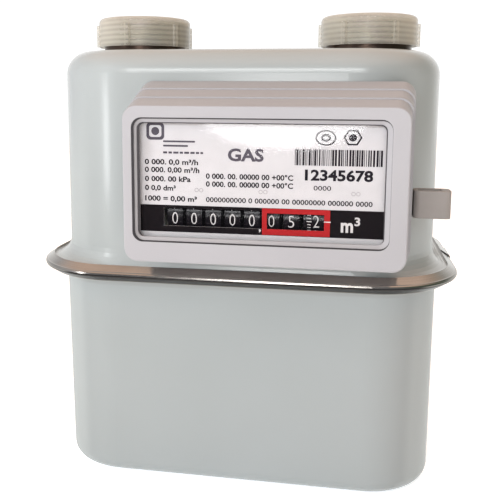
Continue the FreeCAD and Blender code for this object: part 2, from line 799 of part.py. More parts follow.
def crown_wheel(teeth, module, width, pitch_level, bore_radius=0.0):
    """A crown wheel: a disc below the pitch plane with upright radial teeth on its face."""
    radius = module * teeth / 2
    root = pitch_level - 0.9 * module
    tooth_high = 1.6 * module
    tooth_wide = 0.3 * math.pi * module
    solid = tube(radius + width / 2 + 0.2, bore_radius, root - 4 * module, root)
    for index in range(teeth):
        tooth = Part.makeBox(width, tooth_wide, tooth_high + 0.1,
                             Vector(radius - width / 2, -tooth_wide / 2, root - 0.1))
        tooth.rotate(Vector(), Vector(0, 0, 1), 360.0 * index / teeth)
        solid = solid.fuse(tooth)
    return solid.removeSplitter()


def merged(*shapes):
    """Shapes fused into one solid."""
    whole = shapes[0].multiFuse(list(shapes[1:]))
    return whole.removeSplitter()


# ---------------------------------------------------------------- counter

# Spin that puts a tooth gap of each carry pinion opposite a tooth of its drum, in degrees.
CARRY_SPIN = 40.5
# Gap between a drum's rim and the pinion beside it.
CARRY_SETBACK = 0.12
# Outer faces of the index frame's two cheeks, and their thickness.
FRAME_LEFT = -31.0
FRAME_RIGHT = 46.8
CHEEK = 1.5
# Rim thickness, hub radius and half the web's thickness of a number drum.
DRUM_RIM = 1.3
DRUM_HUB = 2.4
HALF_WEB = 0.6


def drum_centre(index):
    """The sideways middle of a number drum's rim, counted from 0."""
    return dims.drum_first.value + index * dims.drum_pitch.value


def carry_centre():
    """Depth and height of the carry shaft."""
    spacing = (dims.drum_teeth.value + dims.carry_teeth.value) * dims.carry_module.value / 2
    angle = math.radians(dims.carry_tilt.value)
    return (dims.drum_y.value + spacing * math.cos(angle),
            dims.drum_z.value + spacing * math.sin(angle))


def on_axis_x(shape, x, y, z, spin=0.0):
    """A shape built on Z, laid along +X and spun about its axis by some degrees."""
    turn = ALONG_X.multiply(Rotation(Vector(0, 0, 1), spin))
    return shape, Placement(Vector(x, y, z), turn)


def number_drum(index, left, right, toothed):
    """A number drum: rim, web and hub, with a toothed ring on its slow side."""
    radius = dims.drum_radius.value
    bore = dims.drum_bore.value
    middle = (right - left) / 2
    rim = tube(radius, radius - DRUM_RIM, 0, right - left)
    web = tube(radius - DRUM_RIM / 2, bore, middle - HALF_WEB, middle + HALF_WEB)
    hub = tube(DRUM_HUB, bore, 0, right - left + 1.3)
    pieces = [rim, web, hub]
    if toothed:
        ring = spur(int(dims.drum_teeth.value), dims.carry_module.value, dims.ring_wide.value + 0.5,
                    right - left - 0.5)
        pieces.append(ring.cut(tube(5.6, 0, right - left - 1, right - left + 2)))
    shape = merged(*pieces)
    if toothed:
        shape = shape.fuse(tube(5.8, bore, middle, right - left + dims.ring_wide.value))
        shape = shape.removeSplitter()
    shape = shape.cut(tube(bore, 0, -1, right - left + 3))
    shape, place = on_axis_x(shape, left, dims.drum_y.value, dims.drum_z.value)
    name = "number_drum_%d" % (index + 1)
    return node(name, feature(name, shape, place))


def last_drum():
    """The fastest drum: wider, with the counter's drive wheel on its right."""
    left, right = dims.last_drum_left.value, dims.last_drum_right.value
    radius, bore = dims.drum_radius.value, dims.drum_bore.value
    width = right - left
    rim = tube(radius, radius - DRUM_RIM, 0, width)
    web = tube(radius - DRUM_RIM / 2, bore, width / 2 - HALF_WEB, width / 2 + HALF_WEB)
    hub = tube(DRUM_HUB, bore, 0, width + 0.4)
    wheel = spur(LAST_WHEEL_TEETH, dims.fine_module.value, 1.4, width + 0.4)
    shape = merged(rim, web, hub, wheel.cut(tube(bore, 0, width - 1, width + 3)))
    shape, place = on_axis_x(shape, left, dims.drum_y.value, dims.drum_z.value)
    return node("number_drum_8", feature("number_drum_8", shape, place))


def pulse_magnet():
    """The small magnet in the last drum that a pulse sensor would read."""
    x = (dims.last_drum_left + dims.last_drum_right) / 2 - 3.1
    return node("pulse_magnet", rod(1.2, 2.4, x, dims.drum_y, dims.drum_z - 6.4, ALONG_X))


def number_drums():
    """Seven equal drums and the wider last one."""
    for index in range(7):
        centre = drum_centre(index)
        half = dims.drum_wide.value / 2
        number_drum(index, centre - half, centre + half, toothed=True)
    last_drum()


def carry_pinions():
    """One pinion in each gap, in mesh with the toothed ring of the slower drum."""
    y, z = carry_centre()
    teeth = int(dims.carry_teeth.value)
    half = dims.drum_wide.value / 2
    for index in range(7):
        pinion = spur(teeth, dims.carry_module.value, dims.carry_wide.value)
        pinion = pinion.cut(tube(dims.carry_shaft_radius.value + PLAY, 0, -1, 3))
        left = drum_centre(index) + half + CARRY_SETBACK
        shape, place = on_axis_x(pinion, left, y, z, CARRY_SPIN)
        name = "carry_pinion_%d" % (index + 1)
        node(name, feature(name, shape, place))


def counter_shafts():
    """The fixed shafts on which the drums and the carry pinions turn."""
    length = FRAME_RIGHT - FRAME_LEFT
    node("drum_shaft", rod(dims.drum_shaft_radius, length, FRAME_LEFT, dims.drum_y, dims.drum_z,
                           ALONG_X))
    y, z = carry_centre()
    node("carry_shaft", rod(dims.carry_shaft_radius, length, FRAME_LEFT, y, z, ALONG_X))


# ---------------------------------------------------------------- index drive

# Tooth counts of the index train: cross shaft, idler and the last drum's wheel.
SHAFT_TEETH = 12
IDLER_BIG_TEETH = 36
IDLER_SMALL_TEETH = 18
LAST_WHEEL_TEETH = 50
PINION_TEETH = 12
CROWN_TEETH = 24
ADJUSTING_TEETH = 24
# Half a tooth of a 12-tooth pinion, which puts a gap where a crown tooth stands.
PINION_PHASE = math.pi / PINION_TEETH


def pitch_radius(module, teeth):
    """Half the pitch diameter of a wheel."""
    return module * teeth / 2


def cross_shaft_y():
    """Depth of the cross shaft, so that its crown wheel reaches the magnet's pinion."""
    pinion_middle = dims.cup_front.value - 2.6
    return pinion_middle - pitch_radius(dims.fine_module.value, CROWN_TEETH)


def meshing_phase(teeth, direction, other_teeth, other_phase):
    """The phase at which a wheel meshes with one that lies in a direction, both in radians."""
    other_share = (direction + math.pi - other_phase) * other_teeth / (2 * math.pi)
    share = 0.5 - other_share
    return direction - share * 2 * math.pi / teeth


def angle_on_x(start, end):
    """Direction between two depth-height points as an angle on a shaft laid along +X."""
    return math.atan2(end[0] - start[0], start[1] - end[1])


def shaft_centre():
    """Depth and height of the cross shaft."""
    return cross_shaft_y(), dims.coupling_z.value


def drum_axis():
    """Depth and height of the counter axis."""
    return dims.drum_y.value, dims.drum_z.value


def idler_centre():
    """Depth and height of the idler, from its distances to the cross shaft and the counter."""
    module = dims.fine_module.value
    first = pitch_radius(module, SHAFT_TEETH) + pitch_radius(module, IDLER_BIG_TEETH)
    second = pitch_radius(module, IDLER_SMALL_TEETH) + pitch_radius(module, LAST_WHEEL_TEETH)
    y_shaft, z_shaft = shaft_centre()
    y_drum, z_drum = drum_axis()
    span = math.hypot(y_drum - y_shaft, z_drum - z_shaft)
    along = (first ** 2 - second ** 2 + span ** 2) / (2 * span)
    aside = math.sqrt(first ** 2 - along ** 2)
    unit_y, unit_z = (y_drum - y_shaft) / span, (z_drum - z_shaft) / span
    return (y_shaft + along * unit_y - aside * unit_z,
            z_shaft + along * unit_z + aside * unit_y)


def index_frame():
    """The moulded frame: a back plate, two cheeks that hold the shafts, and the idler's pin."""
    back = dims.case_front
    front = as_size(plate_front() + dims.plate_thick)
    low, high = dims.drum_z - 14.2, dims.coupling_z + 6.5
    plate = block(FRAME_LEFT, FRAME_RIGHT, back - 1.0, back, low, high)
    cheeks = [block(start, start + CHEEK, front, back - 0.5, low, high)
              for start in (FRAME_LEFT, FRAME_RIGHT - CHEEK)]
    y_idler, z_idler = idler_centre()
    pin = rod(0.8, 4.0, FRAME_RIGHT - CHEEK - 3.6, y_idler, z_idler, ALONG_X)
    y_carry, z_carry = carry_centre()
    length = FRAME_RIGHT - FRAME_LEFT + 2
    start = FRAME_LEFT - 1
    holes = [rod(dims.drum_shaft_radius, length, start, dims.drum_y, dims.drum_z, ALONG_X),
             rod(dims.carry_shaft_radius, length, start, y_carry, z_carry, ALONG_X),
             rod(0.85, length, start, cross_shaft_y(), dims.coupling_z, ALONG_X),
             rod(8.4, 4, dims.coupling_x, back - 2, dims.coupling_z, ALONG_Y)]
    return node("index_frame", cut(fuse(plate, pin, *cheeks), *holes))


def coupling_cup():
    """The brass cup, closed in front, through which the magnets couple without a leak path."""
    start = dims.case_front + dims.wall
    front = start - dims.cup_front
    profile = [(0, front - 1), (dims.cup_bore, front - 1), (dims.cup_bore, -1), (8.5, -1),
               (8.5, 0), (dims.cup_radius, 0), (dims.cup_radius, front), (0.8, front),
               (0.8, front + 3.6), (0, front + 3.6)]
    cup = turned("cup", profile)
    return node("coupling_cup", move(cup, dims.coupling_x, start, dims.coupling_z, ALONG_MINUS_Y))


def outer_magnet():
    """The ring magnet around the cup, with its disc and the pinion that drives the index."""
    wall_face = -dims.case_front.value
    nose = -dims.cup_front.value
    ring = tube(7.8, 6.2, wall_face + 0.9, nose + 0.6)
    disc = tube(7.8, 0.85, nose + 0.6, nose + 1.6)
    pinion = spur(PINION_TEETH, dims.fine_module.value, 2.0, nose + 1.6, PINION_PHASE)
    pinion = pinion.cut(tube(0.85, 0, nose, nose + 5))
    shape = merged(ring, disc, pinion)
    place = Placement(Vector(dims.coupling_x.value, 0, dims.coupling_z.value), ALONG_MINUS_Y)
    return node("outer_magnet", feature("outer_magnet", shape, place))



def cross_shaft():
    """The shaft across the index: a crown wheel at its left end and a pinion at its right."""
    module = dims.fine_module.value
    start = dims.coupling_x.value + pitch_radius(module, PINION_TEETH)
    crown = crown_wheel(CROWN_TEETH, module, 1.4, 0.0)
    crown.rotate(Vector(), Vector(1, 0, 0), 180)
    end = FRAME_RIGHT - 0.4 - start
    pinion_start = FRAME_RIGHT - CHEEK - 1.8 - start
    shaft = tube(0.8, 0, module, end)
    pinion = spur(SHAFT_TEETH, module, 1.4, pinion_start)
    place = Placement(Vector(start, cross_shaft_y(), dims.coupling_z.value), ALONG_X)
    return node("cross_shaft", feature("cross_shaft", merged(crown, shaft, pinion), place))


def index_idler():
    """The two-step idler between the cross shaft and the last drum."""
    module = dims.fine_module.value
    y, z = idler_centre()
    big_level = dims.last_drum_right.value + 2.2
    small_level = dims.last_drum_right.value + 0.4
    big_phase = meshing_phase(IDLER_BIG_TEETH, angle_on_x((y, z), shaft_centre()), SHAFT_TEETH, 0.0)
    small_phase = meshing_phase(IDLER_SMALL_TEETH, angle_on_x((y, z), drum_axis()),
                                LAST_WHEEL_TEETH, 0.0)
    big = spur(IDLER_BIG_TEETH, module, 1.4, big_level - small_level, big_phase)
    small = spur(IDLER_SMALL_TEETH, module, big_level - small_level + 0.2, 0.0, small_phase)
    shape = merged(big, small).cut(tube(0.85, 0, -1, 5))
    place = Placement(Vector(small_level, y, z), ALONG_X)
    return node("index_idler", feature("index_idler", shape, place))


# ---------------------------------------------------------------- inner drive

# Gears that join the drive shaft to the magnet rotor: module, start and width.
ADJUSTING_MODULE = 0.9
ADJUSTING_START = 17.5
ADJUSTING_WIDE = 2.5
# Rear end of the magnet rotor's shaft.
SHAFT_BACK = 11.0
# Underside and thickness of the crank's web, and its radius.
WEB_LOW = 108.0
WEB_THICK = 2.0
WEB_RADIUS = 11.0
# Radii of the crank's journal, of its thinner shaft above the web and of its pin.
JOURNAL_RADIUS = 2.0
NECK_RADIUS = 1.3
PIN_RADIUS = 1.4
# Direction from the crank's axis to its pin at rest, degrees.
PIN_DIRECTION = 120.0


def magnet_rotor():
    """The inner magnet in the cup, on its shaft with an adjusting gear."""
    wall_face = -dims.case_front.value
    magnet = tube(4.9, 0, wall_face - 0.6, -dims.cup_front.value - 1.3)
    shaft = tube(1.0, 0, SHAFT_BACK, wall_face)
    towards_drive = math.atan2(dims.drive_z.value - dims.coupling_z.value, -dims.coupling_x.value)
    phase = meshing_phase(ADJUSTING_TEETH, towards_drive, ADJUSTING_TEETH, 0.0)
    gear = spur(ADJUSTING_TEETH, ADJUSTING_MODULE, ADJUSTING_WIDE, ADJUSTING_START, phase)
    place = Placement(Vector(dims.coupling_x.value, 0, dims.coupling_z.value), ALONG_MINUS_Y)
    return node("magnet_rotor", feature("magnet_rotor", merged(magnet, shaft, gear), place))



def drive_shaft():
    """The shaft that takes the crank's turning forward: crown pinion behind, gear in front."""
    crown_radius = pitch_radius(dims.crown_module.value, CROWN_TEETH)
    middle = crown_radius - dims.crank_y.value
    pinion = spur(PINION_TEETH, dims.crown_module.value, 1.6, middle - 0.8, PINION_PHASE)
    shaft = tube(1.2, 0, middle - 0.8, 21.0)
    gear = spur(ADJUSTING_TEETH, ADJUSTING_MODULE, ADJUSTING_WIDE, ADJUSTING_START)
    place = Placement(Vector(0, 0, dims.drive_z.value), ALONG_MINUS_Y)
    return node("drive_shaft", feature("drive_shaft", merged(pinion, shaft, gear), place))


def crank():
    """The crank: shaft, web with its pin, and the crown wheel on top."""
    module = dims.crown_module.value
    pitch_level = dims.drive_z.value - pitch_radius(module, PINION_TEETH)
    crown = crown_wheel(CROWN_TEETH, module, 1.6, pitch_level)
    journal = tube(JOURNAL_RADIUS, 0, dims.unit_high.value + 0.5, WEB_LOW)
    neck = tube(NECK_RADIUS, 0, WEB_LOW, pitch_level - 2.4)
    web_high = WEB_LOW + WEB_THICK
    web = tube(WEB_RADIUS, 0, WEB_LOW, web_high)
    pin = Part.makeCylinder(PIN_RADIUS, 3.0, Vector(*crank_pin_offset(), web_high))
    place = Placement(Vector(0, dims.crank_y.value, 0), Rotation())
    return node("crank", feature("crank", merged(crown, journal, neck, web, pin), place))


def crank_pin_offset():
    """The crank pin's place relative to the crank axis."""
    angle = math.radians(PIN_DIRECTION)
    throw = dims.crank_throw.value
    return throw * math.cos(angle), throw * math.sin(angle)


def gear_bracket():
    """The bracket on the valve table that carries the drive shaft and the magnet rotor."""
    table = dims.table_high
    plate = block(-17, 8, -14, -12, table, dims.coupling_z + 6)
    foot = block(-17, 8, -14, -9, table, table + 2)
    holes = [rod(1.25, 6, 0, -16, dims.drive_z, ALONG_Y),
             rod(1.05, 6, dims.coupling_x, -16, dims.coupling_z, ALONG_Y)]
    return node("gear_bracket", cut(fuse(plate, foot), *holes))


# ---------------------------------------------------------------- measuring unit

FRONT = "front"
REAR = "rear"
# Chamber screws: shank radius and length, head radius.
SCREW_RADIUS = 1.0
SCREW_LONG = 9.0
SCREW_HEAD = 1.9
# Flange thickness of a chamber cover.
COVER_FLANGE = 2.0
# Lower and upper edge of a pan and of a flag, and the lower faces of the pan's two lugs.
PAN_LOW = 21.0
PAN_HIGH = 81.0
FLAG_LOW = 31.0
FLAG_HIGH = 71.0
LUG_LEVELS = (25.5, 74.5)
# Back face of a pan, measured from the middle of the partition.
PAN_BACK = -16.2
# Top of the flag rods, and how deep each one stands in the chamber floor.
ROD_TOP = 118.4
ROD_SOCKET = 2.5
# Far end of each rod's arm, where its link is pinned.
ARM_ENDS = {FRONT: (-45.0, 41.4), REAR: (39.6, 47.9)}
# Undersides of the arms and links, which pass over each other, and their thickness.
ARM_LOW = {FRONT: 113.4, REAR: 115.5}
LINK_LOW = {FRONT: 115.6, REAR: 113.5}
ARM_THICK = 2.0
LINK_THICK = 1.8
# Eye radii at an arm's or link's near and far end, and half the bar's width.
NEAR_EYE = 3.0
FAR_EYE = 2.1
HALF_BAR = 1.6
# Hole of a link's eye on its arm's pin, and of its eye towards the crank pin.
ARM_PIN_HOLE = 1.28
CRANK_PIN_HOLE = 1.5
# Middle of each slide valve along X, and half its length and width.
VALVE_X = {FRONT: -26.0, REAR: 25.0}
VALVE_HALF = (7.5, 12.0)


def unit_place(side):
    """The placement of a front part, or of the same part turned round to the rear."""
    turn = 0 if side == FRONT else 180
    return Placement(Vector(0, dims.crank_y.value, 0), Rotation(Vector(0, 0, 1), turn))


def panel(half, low, high, back, front, radius=0.0):
    """An upright panel centred on X between two heights and two depths, with round corners."""
    solid = Part.makeBox(2 * half, back - front, high - low, Vector(-half, front, low))
    if not radius:
        return solid
    upright = [edge for edge in solid.Edges if edge.BoundBox.YLength > (back - front) * 0.9]
    return solid.makeFillet(radius, upright)


def chamber_body():
    """The moulded body: two open chambers either side of a partition, on four feet."""
    low, high = dims.unit_low.value, dims.unit_high.value
    deep, split = dims.unit_half_deep.value, dims.partition_half.value
    margin = dims.chamber_margin.value
    inside_low, inside_high = low + margin, high - margin
    half, inner_half = dims.unit_half.value, dims.chamber_half.value
    shape = panel(half, low, high, deep, -deep)
    shape = shape.cut(panel(inner_half, inside_low, inside_high, -split, -deep - 1, 8.0))
    shape = shape.cut(panel(inner_half, inside_low, inside_high, deep + 1, split, 8.0))
    for x in (-60, 60):
        for y in (-14, 14):
            foot = Part.makeBox(10, 8, low - dims.wall.value, Vector(x - 5, y - 4, dims.wall.value))
            shape = shape.fuse(foot)
    for sign in (-1, 1):
        x, y = sign * dims.rod_reach.value, sign * dims.rod_off.value
        for level in (inside_low - ROD_SOCKET, inside_high - 5):
            hole = Part.makeCylinder(dims.rod_radius.value + 0.06, 10, Vector(x, y, level))
            shape = shape.cut(hole)
    for hole in screw_shapes(SCREW_RADIUS, 0.0, SCREW_LONG):
        shape = shape.cut(hole)
    return node("chamber_body", feature("chamber_body", shape.removeSplitter(), unit_place(FRONT)))


def screw_places():
    """Sideways place and height of each chamber screw."""
    low, high = dims.unit_low.value, dims.unit_high.value
    middle = (low + high) / 2
    return [(sign * (dims.unit_half.value - 2), level)
            for sign in (-1, 1) for level in (low + 14, middle, high - 14)]


def screw_shapes(radius, head, length):
    """Chamber screws of both sides in the unit's own frame, as plain shanks or with heads."""
    face = dims.unit_half_deep.value + dims.cloth_thick.value + COVER_FLANGE
    shapes = []
    for side in (-1, 1):
        for x, z in screw_places():
            start = Vector(x, side * face, z)
            shank = Part.makeCylinder(radius, length, start, Vector(0, -side, 0))
            if head:
                cap = Part.makeCylinder(head, 1.5, start, Vector(0, side, 0))
                slot = Part.makeBox(2 * head + 1, 1.0, 0.6, Vector(x - head - 0.5,
                                    min(side * (face + 0.5), side * (face + 1.5)), z - 0.3))
                shank = shank.fuse(cap).cut(slot)
            shapes.append(shank)
    return shapes


def chamber_screws():
    """The twelve slotted screws that hold the chamber covers."""
    whole = Part.makeCompound(screw_shapes(SCREW_RADIUS, SCREW_HEAD, SCREW_LONG))
    return node("chamber_screws", feature("chamber_screws", whole, unit_place(FRONT)))


def clear_of_screws(shape):
    """A front part with the screw holes drilled through it."""
    for hole in screw_shapes(SCREW_RADIUS, 0.0, SCREW_LONG):
        shape = shape.cut(hole)
    return shape


def chamber_cover(side):
    """A bowl-shaped cover that closes one chamber."""
    low, high = dims.unit_low.value, dims.unit_high.value
    face = -dims.unit_half_deep.value - dims.cloth_thick.value
    deep = dims.cover_deep.value
    half = dims.unit_half.value
    flange = panel(half, low, high, face, face - COVER_FLANGE)
    bowl = panel(half - 4.5, low + 4.5, high - 4.5, face, face - deep, 8.0)
    hollow = panel(half - 6.5, low + 6.5, high - 6.5, face + 1, face - deep + 2, 6.0)
    shape = clear_of_screws(flange.fuse(bowl).cut(hollow).removeSplitter())
    name = side + "_chamber_cover"
    return node(name, feature(name, shape, unit_place(side)))


def diaphragm(side):
    """The synthetic-leather diaphragm's clamped border and flat fold round the pan."""
    low, high = dims.unit_low.value, dims.unit_high.value
    face = -dims.unit_half_deep.value
    thick, fold = dims.cloth_thick.value, 2.5
    sheet = panel(dims.unit_half.value - 0.5, low + 0.5, high - 0.5, face, face - thick)
    opening = panel(dims.pan_half.value + fold, PAN_LOW - fold, PAN_HIGH + fold,
                    face + 1, face - 2, 8.0)
    shape = clear_of_screws(sheet.cut(opening))
    name = side + "_diaphragm"
    return node(name, feature(name, shape, unit_place(side)))


def flag_tip():
    """The flag's tip in the unit's frame, for the front side."""
    return dims.flag_long.value - dims.rod_reach.value, -dims.flag_tip_off.value


def diaphragm_pan(side):
    """The stiff pan in the middle of a diaphragm, with two slotted lugs for the flag's pin."""
    shape = panel(dims.pan_half.value, PAN_LOW, PAN_HIGH, PAN_BACK, PAN_BACK - 1.5, 7.0)
    tip_x, tip_y = flag_tip()
    for level in LUG_LEVELS:
        lug = Part.makeBox(8.2, tip_y + 2.05 - PAN_BACK + 0.1, 2,
                           Vector(tip_x - 5, PAN_BACK - 0.1, level))
        slot = Part.makeBox(5.6, 2.5, 4, Vector(tip_x - 3.7, tip_y - 1.25, level - 1))
        shape = shape.fuse(lug).cut(slot)
    name = side + "_pan"
    return node(name, feature(name, shape.removeSplitter(), unit_place(side)))


def flag_rod(side):
    """The upright rod that carries a flag's swing up through the valve table."""
    low = dims.unit_low.value + dims.chamber_margin.value - ROD_SOCKET
    shape = Part.makeCylinder(dims.rod_radius.value, ROD_TOP - low,
                              Vector(-dims.rod_reach.value, -dims.rod_off.value, low))
    name = side + "_flag_rod"
    return node(name, feature(name, shape, unit_place(side)))


def flag(side):
    """The flag: a hub on the rod, a flat blade and the pin at its tip."""
    radius = dims.rod_radius.value
    x, y = -dims.rod_reach.value, -dims.rod_off.value
    tip_x, tip_y = flag_tip()
    long = math.hypot(tip_x - x, tip_y - y)
    blade = Part.makeBox(long - radius - 0.5, 1.4, FLAG_HIGH - FLAG_LOW,
                         Vector(radius + 0.5, -0.7, FLAG_LOW))
    blade.rotate(Vector(), Vector(0, 0, 1), math.degrees(math.atan2(tip_y - y, tip_x - x)))
    hub = tube(radius + 1.2, 0, FLAG_LOW, FLAG_HIGH)
    shape = hub.fuse(blade).cut(tube(radius, 0, FLAG_LOW - 1, FLAG_HIGH + 1))
    shape.translate(Vector(x, y, 0))
    pin = Part.makeCylinder(1.0, FLAG_HIGH - FLAG_LOW + 13, Vector(tip_x, tip_y, FLAG_LOW - 6.5))
    name = side + "_flag"
    return node(name, feature(name, merged(shape, pin), unit_place(side)))


def lever(start, end, low, thick, start_hole, end_hole, end_pin=None):
    """A flat bar with an eye at each end, or a pin instead of the hole at its far end."""
    (x, y), (far_x, far_y) = start, end
    long = math.hypot(far_x - x, far_y - y)
    bar = Part.makeBox(long, 2 * HALF_BAR, thick, Vector(0, -HALF_BAR, low))
    near = tube(NEAR_EYE, 0, low, low + thick)
    far = tube(FAR_EYE, 0, low, low + thick)
    far.translate(Vector(long, 0, 0))
    shape = merged(bar, near, far).cut(tube(start_hole, 0, low - 1, low + thick + 1))
    if end_pin:
        pin = tube(1.2, 0, *end_pin)
        pin.translate(Vector(long, 0, 0))
        shape = shape.fuse(pin)
    else:
        hole = tube(end_hole, 0, low - 1, low + thick + 1)
        hole.translate(Vector(long, 0, 0))
        shape = shape.cut(hole)
    turn = Rotation(Vector(0, 0, 1), math.degrees(math.atan2(far_y - y, far_x - x)))
    return shape, Placement(Vector(x, y, 0), turn)


def rod_place(side):
    """The rod's place in the meter's frame."""
    sign = -1 if side == FRONT else 1
    return (sign * dims.rod_reach.value, dims.crank_y.value + sign * dims.rod_off.value)


def crank_pin_place():
    """The crank pin's place at rest in the meter's frame."""
    offset_x, offset_y = crank_pin_offset()
    return offset_x, dims.crank_y.value + offset_y


def arm(side):
    """The arm fixed on a flag rod, with the pin for its link."""
    low = ARM_LOW[side]
    if side == FRONT:
        pin = (low, LINK_LOW[side] + LINK_THICK)
    else:
        pin = (LINK_LOW[side], low + ARM_THICK)
    shape, place = lever(rod_place(side), ARM_ENDS[side], low, ARM_THICK,
                         dims.rod_radius.value, 0, pin)
    name = side + "_arm"
    return node(name, feature(name, shape, place))


def link(side):
    """The link from an arm towards the crank pin; its far eye stays clear above the pin."""
    shape, place = lever(ARM_ENDS[side], crank_pin_place(), LINK_LOW[side], LINK_THICK,
                         ARM_PIN_HOLE, CRANK_PIN_HOLE)
    name = side + "_link"
    return node(name, feature(name, shape, place))


def valve_table():
    """The plate on the chamber body with the valve seats, ports and bearings."""
    shape = Part.makeBox(2 * dims.unit_half.value, 2 * dims.unit_half_deep.value, 4,
                         Vector(-dims.unit_half.value, -dims.unit_half_deep.value,
                                dims.unit_high.value))
    low = dims.unit_high.value - 1
    for sign in (-1, 1):
        foot = Vector(sign * dims.rod_reach.value, sign * dims.rod_off.value, low)
        shape = shape.cut(Part.makeCylinder(dims.rod_radius.value + 0.06, 6, foot))
    shape = shape.cut(Part.makeCylinder(JOURNAL_RADIUS + 0.06, 6, Vector(0, 0, low)))
    outlet_centre = Vector(dims.port_half.value, -dims.crank_y.value, dims.unit_high.value + 2)
    shape = shape.cut(Part.makeCylinder(dims.outlet_narrow.value - 1.5, 3, outlet_centre))
    for middle in VALVE_X.values():
        for port in (-4.6, 0.0, 4.6):
            corner = Vector(middle + port - 1.2, -9, dims.unit_high.value + 1.5)
            shape = shape.cut(Part.makeBox(2.4, 18, 3, corner))
    return node("valve_table", feature("valve_table", shape.removeSplitter(), unit_place(FRONT)))


def slide_valve(side):
    """A slide valve: a block hollowed below, with a stub on top for its rod."""
    half_x, half_y = VALVE_HALF
    middle = VALVE_X[side]
    low = dims.table_high.value + PLAY
    shape = Part.makeBox(2 * half_x, 2 * half_y, 5, Vector(middle - half_x, -half_y, low))
    shape = shape.cut(Part.makeBox(2 * half_x - 8, 2 * half_y - 5, 2.6,
                                   Vector(middle - half_x + 4, -half_y + 2.5, low - 0.1)))
    shape = shape.fuse(Part.makeCylinder(1.5, 2.5, Vector(middle, 0, low + 5)))
    name = side + "_valve"
    return node(name, feature(name, shape.removeSplitter(), unit_place(FRONT)))


def outlet_pipe():
    """The pipe that carries measured gas from the valve table up into the outlet connection."""
    low, high = dims.table_high, dims.port_low + 4
    wide, narrow, thick = dims.outlet_radius, dims.outlet_narrow, 1.5
    profile = [(narrow - thick, low), (narrow, low), (narrow, 150), (wide, 165), (wide, high),
               (wide - thick, high), (wide - thick, 165.4), (narrow - thick, 150.4)]
    return node("outlet_pipe", move(turned("pipe", profile), dims.port_half))


def main():
    """Build every sub-part, check it and write it out."""
    upper_case()
    lower_case()
    case_gasket()
    clamp_band()
    connector("inlet_connector", -1)
    connector("outlet_connector", 1)
    transport_cap("inlet_cap", -1, -35.0)
    transport_cap("outlet_cap", 1, 0.0)
    index_cover()
    index_window()
    data_plate()
    seal_lug()
    number_drums()
    pulse_magnet()
    carry_pinions()
    counter_shafts()
    index_frame()
    coupling_cup()
    outer_magnet()
    cross_shaft()
    index_idler()
    magnet_rotor()
    drive_shaft()
    crank()
    gear_bracket()
    chamber_body()
    valve_table()
    outlet_pipe()
    for side in (FRONT, REAR):
        chamber_cover(side)
        diaphragm(side)
        diaphragm_pan(side)
        flag_rod(side)
        flag(side)
        arm(side)
        link(side)
        slide_valve(side)
    chamber_screws()
    export()


def export():
    """Check every object, then write each sub-part to its own STEP file."""
    doc.recompute()
    for item in doc.Objects:
        if "Invalid" in item.State or "Error" in item.State:
            raise RuntimeError("%s (%s) failed to build" % (item.Name, item.Label))
    for item in nodes:
        if item.Shape.isNull() or not item.Shape.isValid() or not item.Shape.Solids:
            raise RuntimeError("%s has no valid solid" % item.Label)
    os.makedirs("parts", exist_ok=True)
    for item in nodes:
        item.Shape.exportStep("parts/%s.step" % item.Label)
    print("wrote %d sub-parts" % len(nodes))


main()
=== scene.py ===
import json
import math
import random

import bmesh
import bpy
from mathutils import Matrix, Vector


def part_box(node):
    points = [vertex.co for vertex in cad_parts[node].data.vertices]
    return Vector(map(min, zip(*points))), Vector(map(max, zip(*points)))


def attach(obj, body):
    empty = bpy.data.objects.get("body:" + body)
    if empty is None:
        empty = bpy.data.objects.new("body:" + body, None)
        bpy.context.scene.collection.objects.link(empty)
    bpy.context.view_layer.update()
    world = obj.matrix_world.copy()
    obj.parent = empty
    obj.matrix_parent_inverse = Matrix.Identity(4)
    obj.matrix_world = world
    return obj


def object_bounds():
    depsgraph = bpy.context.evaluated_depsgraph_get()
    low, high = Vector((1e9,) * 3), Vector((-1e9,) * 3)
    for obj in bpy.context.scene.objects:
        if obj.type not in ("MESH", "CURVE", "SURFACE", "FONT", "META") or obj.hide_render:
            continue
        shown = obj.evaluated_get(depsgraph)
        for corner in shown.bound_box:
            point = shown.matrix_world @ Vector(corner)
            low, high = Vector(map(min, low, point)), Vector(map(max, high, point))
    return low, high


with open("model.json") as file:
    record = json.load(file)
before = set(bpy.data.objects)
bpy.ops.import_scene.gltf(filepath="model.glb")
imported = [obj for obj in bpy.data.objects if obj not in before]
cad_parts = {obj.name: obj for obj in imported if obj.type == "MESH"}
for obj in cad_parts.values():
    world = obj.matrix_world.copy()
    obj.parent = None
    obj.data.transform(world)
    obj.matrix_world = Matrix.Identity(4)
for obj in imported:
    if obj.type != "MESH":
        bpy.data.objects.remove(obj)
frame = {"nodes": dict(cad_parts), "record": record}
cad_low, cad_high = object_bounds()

MM = 0.001
nodes = frame["nodes"]
scene = bpy.context.scene
chance = random.Random(7)       # seeded, so that every run draws the same bars


# ---------------------------------------------------------------- shader building

# The Mix node's colour sockets share their names with its others, so they go by number.
MIX_COLOURS = (6, 7)
MIX_RESULT = 2

SCHLICK_POWER = 5.0             # how steeply a clear skin's gloss rises towards grazing
GRAZING_SHARE = 0.9


def rgba(colour):
    """A colour, or a grey given as one number, with full opacity."""
    return (colour,) * 3 + (1,) if isinstance(colour, float) else (*colour, 1)


def srgb(red, green, blue):
    """A display colour of 0 to 255 as linear light."""
    def linear(level):
        level /= 255
        return level / 12.92 if level <= 0.04045 else ((level + 0.055) / 1.055) ** 2.4
    return linear(red), linear(green), linear(blue)


def dimmed(colour, share):
    return tuple(level * share for level in colour)


